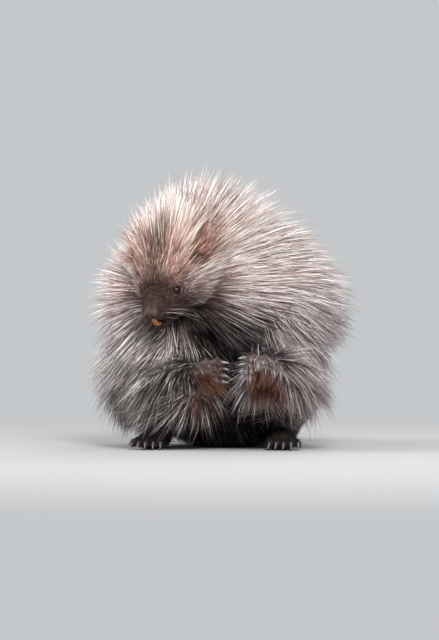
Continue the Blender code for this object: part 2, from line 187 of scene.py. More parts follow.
for s, leg in LEGS.items():
    GROUP[0] = "leg"
    limbs([leg["hip"], leg["knee"]], 16)
    k, a = leg["knee"], leg["ankle"]
    limbs([(k[0], k[1] + 6, k[2] - 6, 28), a], 10)
    GROUP[0] = "foot"
    ax = a[0]
    limbs([(ax, 6, 13.5, 12), (ax + s * 2, -34, 13.5, 13), (ax + s * 5, -72, 11.5, 12)], 6)
    ball((ax + s * 5, -72, 10.5), (20.5, 15, 10), 5)
    ball((ax + s * 1.5, -26, 10.5), (16.5, 33, 10.5), 5)
    for across in TOES:
        reach = -101.0 + abs(across - s * 1.5) * 0.42
        root = np.array([ax + s * 5 + across * 0.95, -77, 9.5])
        knuckle = np.array([ax + s * 6.5 + across * 1.04, (reach - 77) / 2 - 2, 9.6])
        tip = np.array([ax + s * 8 + across * 1.12, reach, 7.6])
        limb(root, 6.0, knuckle, 5.3, 2.0)
        limb(knuckle, 5.2, tip, 4.2, 1.4)

# head
GROUP[0] = "head"
head_ball(-33, 0, 4, 33, 29, 27, 8)  # cranium
head_ball(-14, 0, 6, 21, 22, 17.5, 7)  # forehead
head_ball(-18, 16, -13, 23, 19, 19, 7)  # cheeks
head_ball(-28, 20, -14, 22, 19, 24, 7)  # jaw muscle
head_ball(-13, 15, -24, 20, 13.5, 12.5, 6)  # jowls
head_ball(-18, 0, -32, 24, 20, 13, 7)  # throat
head_ball(-3.5, 17.0, 0.5, 12.5, 11.4, 11.5, 4)  # orbit
head_ball(9, 0, -4.5, 25, 17.0, 14.0, 5)  # bridge
head_ball(25, 0, -10.0, 18.2, 13.6, 12.0, 4)  # nose
head_ball(21.5, 8.6, -16.6, 17.0, 10.0, 9.8, 4)  # whisker pads
head_ball(2.0, 16.5, -14.0, 19.0, 10.5, 13.5, 7)  # front of the cheek
head_ball(37.6, 5.6, -10.2, 5.6, 4.7, 5.4, 2.0)  # wings of the nose
head_ball(36.5, 0, -6.8, 6.5, 5.5, 4.0, 2.5)  # top of the nose
MOUTH_OPEN = 4.2
head_ball(14.5, 0, -38.8, 16.5, 11.0, 6.4, 3)  # chin
head_ball(-1, 0, -37.4, 20, 16.0, 9.6, 5)
limb(in_head(-30, 0, -4), 30, in_head(-46, 8, -16), 34, 16)

# ears: round cupped shells at the sides of the crown
GROUP[0] = "ear"
EARS = []
for s in (1, -1):
    lean = Matrix.Rotation(math.radians(s * 32), 3, "X") @ Matrix.Rotation(math.radians(-28), 3, "Y")
    axes = (np.array(Matrix(HEAD.T.tolist()) @ lean)).T
    c = in_head(-52, s * 40.5, 24.5)
    ball(c, (3.4, 11.6, 13.2), 3.0, axes)
    ball(in_head(-48, s * 33.5, 18), (6, 9, 8), 6.0, HEAD)
    EARS.append((c + axes[0] * 4.0, np.array([3.6, 8.0, 9.6]), axes))


def ellipsoid_distance(p, c, r, axes):
    q = p - c
    if axes is not None:
        q = q @ axes.T
    k0 = np.sqrt(((q / r) ** 2).sum(-1))
    k1 = np.sqrt(((q / (r * r)) ** 2).sum(-1))
    return k0 * (k0 - 1.0) / np.maximum(k1, 1e-6)


def limb_distance(p, a, ra, b, rb):
    ba = b - a
    h = np.clip(((p - a) @ ba) / max(ba @ ba, 1e-9), 0.0, 1.0)
    return np.linalg.norm(p - a - h[..., None] * ba, axis=-1) - (ra + h * (rb - ra))


def melt_in(f, d, k):
    """Union of two fields with a rounded seam of width k."""
    h = np.maximum(k - np.abs(f - d), 0.0) / k
    return np.minimum(f, d) - h * h * k * 0.25


def cut_out(f, d, k):
    """Takes the field d out of f, with a rounded rim of width k."""
    h = np.maximum(k - np.abs(f + d), 0.0) / k
    return np.maximum(f, -d) + h * h * k * 0.25


FAR = 60.0


def flesh(p):
    """Signed distance to the body under the coat, about."""
    out = np.full(p.shape[:-1], FAR)
    for c, r, axes, k, _ in BALLS:
        near = np.abs(p - c).max(-1) < r.max() + k + 10.0
        if near.any():
            q = p[near]
            out[near] = melt_in(out[near], ellipsoid_distance(q, c, r, axes), k)
    for a, ra, b, rb, k, _ in LIMBS:
        mid, half = (a + b) / 2, np.abs(b - a) / 2 + max(ra, rb) + k + 10.0
        near = (np.abs(p - mid) < half).all(-1)
        if near.any():
            q = p[near]
            out[near] = melt_in(out[near], limb_distance(q, a, ra, b, rb), k)
    return np.maximum(out, 0.8 - p[..., 2])


EYES = []
for s in (1, -1):
    centre = in_head(0, s * EYE_APART, 0)
    look = unit(0.36 * F_AX + 0.88 * s * L_AX + 0.20 * U_AX)
    ahead = unit(F_AX - (F_AX @ look) * look)  # towards the front corner
    above = np.cross(look, ahead) * (1 if np.cross(look, ahead) @ U_AX > 0 else -1)
    EYES.append((centre, look, ahead, above))


def features(p, f):
    """Adds the folds and openings of the head to the field."""
    h = to_head(p)
    for c, r, axes in EARS:
        f = cut_out(f, ellipsoid_distance(p, c, r, axes), 1.2)
    # the mouth: a shallow hollow between the lips, and the cleft upper lip
    f = cut_out(f, ellipsoid_distance(h, np.array([19.0, 0, -29.6]), np.array([16.5, 9.8, 3.1]), None), 1.6)
    f = cut_out(f, ellipsoid_distance(h, np.array([40.5, 0, -20.5]), np.array([5.0, 0.75, 5.5]), None), 1.0)
    for s in (1, -1):
        q = h * np.array([1, s, 1])
        # nostril: a comma that opens forwards and outwards
        n = q - np.array([42.4, 4.9, -11.4])
        a = math.radians(32)
        n2 = np.stack([n[..., 0], n[..., 1] * math.cos(a) + n[..., 2] * math.sin(a), -n[..., 1] * math.sin(a) + n[..., 2] * math.cos(a)], -1)
        f = cut_out(f, ellipsoid_distance(n2, np.zeros(3), np.array([4.6, 1.35, 2.7]), None), 1.0)
        n = q - np.array([39.6, 8.4, -12.8])
        f = cut_out(f, ellipsoid_distance(n, np.zeros(3), np.array([3.2, 2.4, 0.75]), None), 0.9)
        # groove behind the wing of the nose
        n = q - np.array([33.8, 10.6, -9.5])
        f = cut_out(f, ellipsoid_distance(n, np.zeros(3), np.array([0.9, 2.4, 5.0]), None), 1.6)
    for centre, look, ahead, above in EYES:
        d = p - centre
        dist = np.linalg.norm(d, axis=-1)
        near = dist < 16
        if not near.any():
            continue
        d, dist, g = d[near], dist[near], f[near]
        x, y, z = d @ ahead, d @ above, d @ look
        # the front corner is drawn out and down towards the nose
        droop = ramp(x, 1.5, 6.5)
        y2 = y + 1.3 * droop
        opening = (np.sqrt((x / np.where(x > 0, 5.7, 5.0)) ** 2 + (y2 / np.where(y2 > 0, 4.35, 4.0)) ** 2) - 1.0) * 4.1
        lid = np.maximum(dist - 6.85, -opening)
        lid = np.where(z > -1.0, lid, 5.0)
        g = melt_in(g, lid, 1.6)
        # folds above and below the lids
        ring = np.sqrt((x / 1.12) ** 2 + (y2 / 0.98) ** 2)
        g = g + np.where(z > 0, 0.42 * np.exp(-(((ring - 8.1) / 0.55) ** 2)), 0.0)
        g = g - np.where(z > 0, 0.30 * np.exp(-(((ring - 9.5) / 0.8) ** 2)), 0.0)
        # crease from the front corner towards the nose
        along = ramp(x, 4.5, 7.0) * (1 - ramp(x, 11.0, 15.0))
        g = g + 0.55 * along * np.exp(-(((y + 1.2 + 0.42 * (x - 5.0)) / 0.75) ** 2)) * (z > -3)
        g = cut_out(g, dist - (EYE_RADIUS + 0.22), 0.25)
        shell = np.maximum(opening, -z)
        g = np.where((opening < 0) & (z > 0), np.maximum(g, -(dist - (EYE_RADIUS + 0.22))), g)
        f[near] = g
    return f


def field(p):
    return features(p, flesh(p))


# ---- a mesh from the field ---------------------------------------------------
def net(low, high, h, fn):
    """Surface net of a field on a regular grid: points and quads."""
    n = np.ceil((high - low) / h).astype(int) + 1
    grid = [low[k] + h * np.arange(n[k]) for k in range(3)]
    values = np.empty(n)
    for i, x in enumerate(grid[0]):
        yy, zz = np.meshgrid(grid[1], grid[2], indexing="ij")
        values[i] = fn(np.stack([np.full_like(yy, x), yy, zz], -1))
    inside = values < 0
    count = sum(
        inside[a : n[0] - 1 + a, b : n[1] - 1 + b, c : n[2] - 1 + c].astype(int)
        for a in (0, 1)
        for b in (0, 1)
        for c in (0, 1)
    )
    active = (count > 0) & (count < 8)
    number = -np.ones(active.shape, int)
    cells = np.argwhere(active)
    number[active] = np.arange(len(cells))
    total, hits = np.zeros((len(cells), 3)), np.zeros(len(cells))
    corners = [(a, b, c) for a in (0, 1) for b in (0, 1) for c in (0, 1)]
    for a in corners:
        for k in range(3):
            if a[k]:
                continue
            b = list(a)
            b[k] = 1
            fa = values[tuple((cells + a).T)]
            fb = values[tuple((cells + b).T)]
            cross = (fa < 0) != (fb < 0)
            t = fa[cross] / (fa[cross] - fb[cross])
            total[cross] += np.array(a) + t[:, None] * (np.array(b) - np.array(a))
            hits[cross] += 1
    points = low + (cells + total / hits[:, None]) * h
    quads = []
    for k in range(3):
        u, v = (k + 1) % 3, (k + 2) % 3
        step = [0, 0, 0]
        step[k] = 1
        a = inside[tuple(slice(0, n[d] - step[d]) for d in range(3))]
        b = inside[tuple(slice(step[d], n[d]) for d in range(3))]
        at = np.argwhere(a != b)
        at = at[(at[:, u] > 0) & (at[:, v] > 0) & (at[:, u] < n[u] - 1) & (at[:, v] < n[v] - 1)]
        eu, ev = np.eye(3, dtype=int)[u], np.eye(3, dtype=int)[v]
        q = np.stack([number[tuple(c.T)] for c in (at, at - eu, at - eu - ev, at - ev)], 1)
        flip = a[tuple(at.T)]
        q[~flip] = q[~flip][:, ::-1]
        quads.append(q)
    return points, np.concatenate(quads)


def gradient(p, fn, e=0.15):
    f0 = fn(p)
    g = np.stack([(fn(p + np.eye(3)[k] * e) - f0) / e for k in range(3)], -1)
    return f0, g


def settle(p, fn, rounds=3, cap=1.2, e=0.15):
    """Draws points onto the surface of the field."""
    for _ in range(rounds):
        f0, g = gradient(p, fn, e)
        step = -f0[:, None] * g / np.maximum((g * g).sum(-1, keepdims=True), 0.2)
        size = np.linalg.norm(step, axis=-1, keepdims=True)
        p = p + step * np.minimum(1.0, cap / np.maximum(size, 1e-9))
    return p


def normals_of(p, tris):
    n = np.cross(p[tris[:, 1]] - p[tris[:, 0]], p[tris[:, 2]] - p[tris[:, 0]])
    out = np.zeros_like(p)
    for k in range(3):
        np.add.at(out, tris[:, k], n)
    return unit(out)


def relax(p, tris, where, rounds=2, amount=0.5):
    """Evens out the triangles along the surface."""
    for _ in range(rounds):
        n = normals_of(p, tris)
        total, count = np.zeros_like(p), np.zeros(len(p))
        for a, b in ((0, 1), (1, 2), (2, 0)):
            np.add.at(total, tris[:, a], p[tris[:, b]])
            np.add.at(total, tris[:, b], p[tris[:, a]])
            np.add.at(count, tris[:, a], 1)
            np.add.at(count, tris[:, b], 1)
        move = total / np.maximum(count, 1)[:, None] - p
        move -= (move * n).sum(-1, keepdims=True) * n
        p = p + move * amount * where[:, None]
    return p


def refine(p, tris, uv, wanted):
    """Splits the edges that are longer than wanted at their middle."""
    e = np.concatenate([tris[:, [0, 1]], tris[:, [1, 2]], tris[:, [2, 0]]])
    key = np.sort(e, 1)
    code = key[:, 0].astype(np.int64) * len(p) + key[:, 1]
    codes, back = np.unique(code, return_inverse=True)
    a, b = (codes // len(p)).astype(int), (codes % len(p)).astype(int)
    length = np.linalg.norm(p[a] - p[b], axis=1)
    split = length > np.minimum(wanted[a], wanted[b])
    number = -np.ones(len(codes), int)
    number[split] = len(p) + np.arange(split.sum())
    points = np.concatenate([p, (p[a[split]] + p[b[split]]) / 2])
    m = number[back].reshape(3, -1).T  # new point of each edge of each triangle
    marks = m >= 0
    kinds = marks.sum(1)
    out_t, out_uv = [tris[kinds == 0]], [uv[kinds == 0]]

    def turned(sel, first):
        idx = (np.arange(3)[None] + first[:, None]) % 3
        rows = np.arange(len(sel))[:, None]
        return tris[sel][rows, idx], uv[sel][rows, idx], m[sel][rows, idx]

    one = np.where(kinds == 1)[0]
    if len(one):
        t, w, mm = turned(one, marks[one].argmax(1))
        w01 = (w[:, 0] + w[:, 1]) / 2
        out_t += [np.stack([t[:, 0], mm[:, 0], t[:, 2]], 1), np.stack([mm[:, 0], t[:, 1], t[:, 2]], 1)]
        out_uv += [np.stack([w[:, 0], w01, w[:, 2]], 1), np.stack([w01, w[:, 1], w[:, 2]], 1)]
    two = np.where(kinds == 2)[0]
    if len(two):
        t, w, mm = turned(two, ((~marks[two]).argmax(1) + 1) % 3)
        w01, w12 = (w[:, 0] + w[:, 1]) / 2, (w[:, 1] + w[:, 2]) / 2
        out_t += [
            np.stack([mm[:, 0], t[:, 1], mm[:, 1]], 1),
            np.stack([t[:, 0], mm[:, 0], mm[:, 1]], 1),
            np.stack([t[:, 0], mm[:, 1], t[:, 2]], 1),
        ]
        out_uv += [np.stack([w01, w[:, 1], w12], 1), np.stack([w[:, 0], w01, w12], 1), np.stack([w[:, 0], w12, w[:, 2]], 1)]
    three = np.where(kinds == 3)[0]
    if len(three):
        t, w, mm = tris[three], uv[three], m[three]
        w01, w12, w20 = (w[:, 0] + w[:, 1]) / 2, (w[:, 1] + w[:, 2]) / 2, (w[:, 2] + w[:, 0]) / 2
        out_t += [
            np.stack([t[:, 0], mm[:, 0], mm[:, 2]], 1),
            np.stack([mm[:, 0], t[:, 1], mm[:, 1]], 1),
            np.stack([mm[:, 2], mm[:, 1], t[:, 2]], 1),
            mm.copy(),
        ]
        out_uv += [
            np.stack([w[:, 0], w01, w20], 1),
            np.stack([w01, w[:, 1], w12], 1),
            np.stack([w20, w12, w[:, 2]], 1),
            np.stack([w01, w12, w20], 1),
        ]
    return points, np.concatenate(out_t), np.concatenate(out_uv)


def mesh_object(name, points, tris, uv=None, smooth=True):
    mesh = bpy.data.meshes.new(name)
    mesh.vertices.add(len(points))
    mesh.vertices.foreach_set("co", world(points).astype(np.float32).ravel())
    mesh.loops.add(tris.size)
    mesh.loops.foreach_set("vertex_index", tris.astype(np.int32).ravel())
    mesh.polygons.add(len(tris))
    mesh.polygons.foreach_set("loop_start", np.arange(0, tris.size, tris.shape[1], dtype=np.int32))
    mesh.polygons.foreach_set("use_smooth", np.full(len(tris), smooth))
    if uv is not None:
        layer = mesh.uv_layers.new(name="OFBake")
        layer.data.foreach_set("uv", uv.astype(np.float32).ravel())
    mesh.update(calc_edges=True)
    obj = bpy.data.objects.new(name, mesh)
    bpy.context.scene.collection.objects.link(obj)
    return obj


# ---- skin ----------------------------------------------------------------------
high = np.array([136.0, 324.0, 322.0])
low = np.array([-148.0, -168.0, -3.0])
skin_p, quads = net(low, high, 3.4, field)
skin_t = np.concatenate([quads[:, [0, 1, 2]], quads[:, [0, 2, 3]]])
skin_p = settle(skin_p, field, 2)
print("net", len(skin_p), len(skin_t))


def unwrap(points, tris):
    obj = mesh_object("unwrap", points, tris)
    bpy.context.view_layer.objects.active = obj
    obj.select_set(True)
    obj.data.uv_layers.new(name="OFBake")
    bpy.ops.object.mode_set(mode="EDIT")
    bpy.ops.mesh.select_all(action="SELECT")
    bpy.ops.uv.smart_project(angle_limit=math.radians(66), island_margin=0.0015, area_weight=0.3, correct_aspect=False)
    bpy.ops.object.mode_set(mode="OBJECT")
    uv = np.empty(len(tris) * 6, np.float32)
    obj.data.uv_layers["OFBake"].data.foreach_get("uv", uv)
    mesh = obj.data
    bpy.data.objects.remove(obj, do_unlink=True)
    bpy.data.meshes.remove(mesh)
    return uv.reshape(-1, 3, 2).astype(float)


skin_uv = unwrap(skin_p, skin_t)


def near_points(p, centres, radius):
    d = np.full(len(p), 1e9)
    for c in centres:
        d = np.minimum(d, np.linalg.norm(p - c, axis=1))
    return d < radius


def fineness(p):
    """Wanted edge length by place."""
    want = np.full(len(p), 9.0)
    h = to_head(p)
    head = (h[:, 0] > -30) & (np.abs(h[:, 1]) < 45) & (np.abs(h[:, 2] + 8) < 45)
    want[head] = 1.9
    hands = near_points(p, [np.array(a["palm"]) for a in ARMS.values()], 26)
    want[hands] = 1.9
    feet = (p[:, 1] < -62) & (p[:, 2] < 26)
    want[feet] = 2.2
    want[near_points(p, [c for c, _, _ in EARS], 16)] = 1.5
    mouth = (h[:, 0] > 4) & (np.abs(h[:, 1]) < 26) & (np.abs(h[:, 2] + 26) < 16)
    want[mouth] = 1.2
    nose = (h[:, 0] > 30) & (np.abs(h[:, 1]) < 16) & (np.abs(h[:, 2] + 13) < 14)
    want[nose] = 0.65
    want[near_points(p, [e[0] for e in EYES], 13.5)] = 0.9
    want[near_points(p, [e[0] for e in EYES], 9.0)] = 0.5
    return want


for turn in range(4):
    skin_p, skin_t, skin_uv = refine(skin_p, skin_t, skin_uv, fineness(skin_p))
    fresh = fineness(skin_p) < 5
    part = skin_p[fresh]
    skin_p[fresh] = settle(part, field, 2, cap=0.8, e=0.08)
    skin_p = relax(skin_p, skin_t, fresh.astype(float), 2, 0.45)
    skin_p[fresh] = settle(skin_p[fresh], field, 2, cap=0.5, e=0.06)
    print("refined", len(skin_p), len(skin_t))
skin_p[:, 2] = np.maximum(skin_p[:, 2], 0.6)
skin_n = normals_of(skin_p, skin_t)
print("skin", len(skin_p), len(skin_t), "low", skin_p.min(0), "high", skin_p.max(0))

skin = mesh_object("skin", skin_p, skin_t, skin_uv)
FLESH_NODES = ["trunk", "neck", "head", "muzzle", "jaw", "tail"]
for s in "lr":
    FLESH_NODES += [f"ear_{s}", f"upper_arm_{s}", f"forearm_{s}", f"hand_{s}", f"thigh_{s}", f"shank_{s}", f"foot_{s}"]
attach(skin, "root")
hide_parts(*FLESH_NODES)

# ---- what grows where ------------------------------------------------------------
GROUPS = ("trunk", "neck", "tail", "arm", "hand", "leg", "foot", "head", "ear")


def belonging(p):
    """Soft share of each part of the body in each place."""
    d = {g: np.full(len(p), 200.0) for g in GROUPS}
    for c, r, axes, _, g in BALLS:
        d[g] = np.minimum(d[g], ellipsoid_distance(p, c, r, axes))
    for a, ra, b, rb, _, g in LIMBS:
        d[g] = np.minimum(d[g], limb_distance(p, a, ra, b, rb))
    e = {g: np.exp(-np.clip(d[g], -2, 80) / (3.0 if g in ("hand", "foot", "ear") else 6.0)) for g in GROUPS}
    total = sum(e.values())
    return {g: e[g] / total for g in GROUPS}


# Outline of the coat: the same rounded forms as the solids.
COAT_BALLS = [
    ((0, 30, 205), (156, 136, 150)),
    ((-8, 65, 118), (146, 126, 124)),
    ((0, -8, 110), (110, 86, 100)),
    ((-78, 12, 108), (108, 106, 98)),
    ((76, 18, 192), (97, 108, 94)),
    ((-80, 0, 205), (105, 92, 100)),
    ((-4, 60, 162), (150, 124, 112)),
    ((-22, -6, 263), (125, 90, 112)),
    ((-62, -36, 232), (86, 58, 80)),
]
COAT_HEAD = [
    (-31, 0, 2, 36, 35, 33),
    (-44, 0, 26, 42, 41, 44),
    (-15, 0, 8, 25, 29, 22),
    (-20, 19, -13, 27, 25, 25),
    (-20, -19, -13, 27, 25, 25),
    (-33, 28, -12, 27, 27, 31),
    (-33, -28, -12, 27, 27, 31),
    (-16, 21, -25, 25, 22, 19),
    (-16, -21, -25, 25, 22, 19),
    (8, 0, -4, 26, 21.5, 16.5),
    (-16, 0, -34, 26, 26, 15),
]
COAT_BONES = [
    [(0, 138, 66, 58), (-6, 196, 46, 48), (-16, 252, 33, 38), (-24, 294, 24, 28), (-27, 312, 20, 21)],
    [(66, -22, 174, 52), (84, -66, 97, 38), (67, -121, 104, 29)],
    [(-80, -20, 168, 52), (-66, -72, 88, 39), (-30, -124, 94, 28)],
    [(60, 48, 84, 70), (88, -48, 76, 45), (78, 4, 28, 24)],
    [(-72, 46, 86, 76), (-102, -46, 80, 49), (-88, 4, 28, 24)],
]


def room_to_grow(p, d):
    """How far a hair can run from p along d before it leaves the coat's outline."""
    forms = [(np.array(c, float), np.array(r, float), None) for c, r in COAT_BALLS]
    forms += [(in_head(*c[:3]), np.array(c[3:], float), HEAD) for c in COAT_HEAD]
    for bone in COAT_BONES:
        for a, b in zip(bone, bone[1:]):
            for t in np.linspace(0, 1, 5):
                c = np.array(a) * (1 - t) + np.array(b) * t
                forms.append((c[:3], np.full(3, c[3]), None))
    spans = []
    for c, r, axes in forms:
        o, w = p - c, d
        if axes is not None:
            o, w = o @ axes.T, d @ axes.T
        o, w = o / r, w / r
        a = (w * w).sum(-1)
        b = (o * w).sum(-1)
        q = b * b - a * ((o * o).sum(-1) - 1)
        root = np.sqrt(np.maximum(q, 0))
        spans.append((np.where(q > 0, (-b - root) / a, 1e9), np.where(q > 0, (-b + root) / a, -1e9)))
    end = np.zeros(len(p))
    for _ in range(3):
        for t0, t1 in spans:
            grow = (t0 <= end + 3.0) & (t1 > end)
            end = np.where(grow, t1, end)
    return end


CENTRE_X = -8.0  # the middle of the body, in design millimetres
DOWN = np.array([0.0, 0.0, -1.0])


def by_ear(p):
    """How near a place is to an ear, from 0 to 1."""
    near = np.zeros(len(p))
    for c, _, _ in EARS:
        near = np.maximum(near, np.exp(-((np.linalg.norm(p - c, axis=1) / 17.0) ** 2)))
    return near


def lie(p, n, share):
    """The way hair runs over the body: its lie along the skin, and its lift."""
    h = to_head(p)
    # body: away from the face, outwards and down below, back and down behind
    away = unit((p - in_head(22, 0, -8)) * np.array([1.0, 0.62, 1.0]))
    behind = ramp(p[:, 1], -10, 120)
    low = ramp(-p[:, 2], -215, -85)
    across = np.clip((p[:, 0] - CENTRE_X) / 90.0, -1, 1)
    body = away * (1 - 0.55 * behind)[:, None]
    body = body + DOWN * (0.14 + 0.70 * behind * ramp(np.abs(n[:, 2]), 1.0, 0.2) + 0.42 * low)[:, None]
    body = body + np.array([0, 1.0, 0]) * (0.20 + 0.5 * behind)[:, None] * ramp(n[:, 2], 0.0, 0.8)[:, None]
    body = body + np.array([1.0, 0, 0]) * (across * (0.22 + 0.25 * low) * (1 - behind))[:, None]
    # head: back from the nose, outwards over the cheeks, up over the crown
    back = unit(h - np.array([60.0, 0, -15.0]))
    side = np.sign(h[:, 1]) * ramp(np.abs(h[:, 1]), 3, 26)
    cheek = ramp(-h[:, 2], -4, 18) * ramp(-h[:, 0], -26, 6)
    head = back + np.stack([0 * side, (0.30 + 0.40 * (side < 0)) * side, 0.30 * ramp(h[:, 2], 0, 20) - 0.46 * cheek], -1)
    head = head @ HEAD
    tail = np.tile(np.array([-0.05, 1.0, -0.12]), (len(p), 1))
    arm, hand, leg, foot = (np.zeros_like(p) for _ in range(4))
    for s, a in ARMS.items():
        mine = (p[:, 0] > 20) if s > 0 else (p[:, 0] <= 20)
        sh, el, wr = (np.array(a[k][:3], float) for k in ("shoulder", "elbow", "wrist"))
        up_seg, low_seg = unit(el - sh), unit(wr - el)
        t = ramp(-p[:, 2] - 0.6 * p[:, 1], -el[2] - 0.6 * el[1] - 16, -el[2] - 0.6 * el[1] + 16)
        d = up_seg * (1 - t)[:, None] + low_seg * t[:, None]
        near_hand = ramp(-p[:, 1], 96, 126)[:, None]
        outer = (ramp(-p[:, 0], 26, 72) * -0.95 if s < 0 else ramp(p[:, 0], 46, 78) * 0.80)[:, None] * (1 - 0.6 * near_hand)
        d = 0.25 * unit(d) + 0.20 * away * (1 - near_hand) + DOWN * 0.85 - np.array([0, 0.28, 0]) * t[:, None]
        d = d + np.array([1.0, 0, 0]) * outer + np.array([a["reach"] * (0.06 if s < 0 else 0.22), 0, 0]) * near_hand
        arm[mine] = d[mine]
        hand[mine] = unit(np.array([0.62, 0.05, -0.62]) if s < 0 else np.array([-0.12, -0.40, -0.86]))
    for s, a in LEGS.items():
        mine = (p[:, 0] > 0) if s > 0 else (p[:, 0] <= 0)
        hip, knee, ankle = (np.array(a[k][:3], float) for k in ("hip", "knee", "ankle"))
        t = ramp(-p[:, 2], -66, -40)
        d = unit(knee - hip) * (1 - t)[:, None] + unit(ankle - knee) * t[:, None]
        d = unit(d) * 0.6 + DOWN * 0.75 + np.array([0.5 * s, 0, 0])
        leg[mine] = d[mine]
        foot[mine] = np.array([0.06 * s, -1.0, -0.18])
    ear = unit(p - in_head(-38, 0, 6)) + 0.3 * U_AX
    d = (
        body * (share["trunk"] + share["neck"])[:, None]
        + head * share["head"][:, None]
        + tail * share["tail"][:, None]
        + arm * share["arm"][:, None]
        + hand * share["hand"][:, None]
        + leg * share["leg"][:, None]
        + foot * share["foot"][:, None]
        + ear * share["ear"][:, None]
    )
    d = d - (d * n).sum(-1, keepdims=True) * n
    flow = unit(d)
    top = ramp(n[:, 2], 0.1, 0.9)
    depth = room_to_grow(p, n)
    lift_body = np.degrees(np.arcsin(np.clip(depth / (104.0 - 18.0 * ramp(p[:, 2], 180, 240)), 0.28, 0.84)))
    wrist_top = ramp(-p[:, 1], 80, 112) * ramp(n[:, 2], -0.2, 0.5)
    lift_arm = np.degrees(np.arcsin(np.clip(depth / 62.0, 0.38, 0.72))) * (1 - 0.45 * wrist_top)
    crown = ramp(-h[:, 0], -2, 32) * ramp(h[:, 2], -6, 14)
    lift_head = 17 + 6 * ramp(-h[:, 0], -14, 14) + 30 * crown + 10 * ramp(-h[:, 0], 10, 36)
    lift = (
        lift_body * share["trunk"]
        + (lift_body + 4 * top) * share["neck"]
        + lift_head * share["head"]
        + 27 * share["tail"]
        + lift_arm * share["arm"]
        + 20 * share["hand"]
        + 26 * share["leg"]
        + 15 * share["foot"]
        + 40 * share["ear"]
    )
    return flow, np.radians(lift)


def head_length(h):
    """Length of the hair over the head, from the nose back."""
    f, l, u = h[:, 0], np.abs(h[:, 1]), h[:, 2]
    along = np.interp(f, [-72, -50, -36, -24, -13, -4, 6, 18, 30, 46], [108, 98, 80, 54, 32, 17, 8.5, 4.8, 3.2, 1.6])
    side = np.interp(f, [-72, -50, -36, -24, -12, 0, 10, 22, 34, 46], [96, 82, 70, 53, 35, 18.0, 8.5, 4.4, 2.8, 1.6])
    t = ramp(u, -8, 10)
    length = along * t + side * (1 - t)
    eye = np.sqrt((f / 1.25) ** 2 + (l - EYE_APART) ** 2 + u**2)
    length = length * (0.30 + 0.70 * ramp(eye, 7.0, 18.0))
    chin = ramp(-u, 26, 34) * ramp(f, -22, 2)
    return length * (1 - chin) + np.interp(f, [-20, 0, 14, 30], [20, 12, 6, 2.5]) * chin


# ---- colours of the coat: the same rule paints skin and hair ---------------------
NEAR_BLACK = np.array([0.012, 0.009, 0.008])
DARK_BROWN = np.array([0.042, 0.027, 0.023])


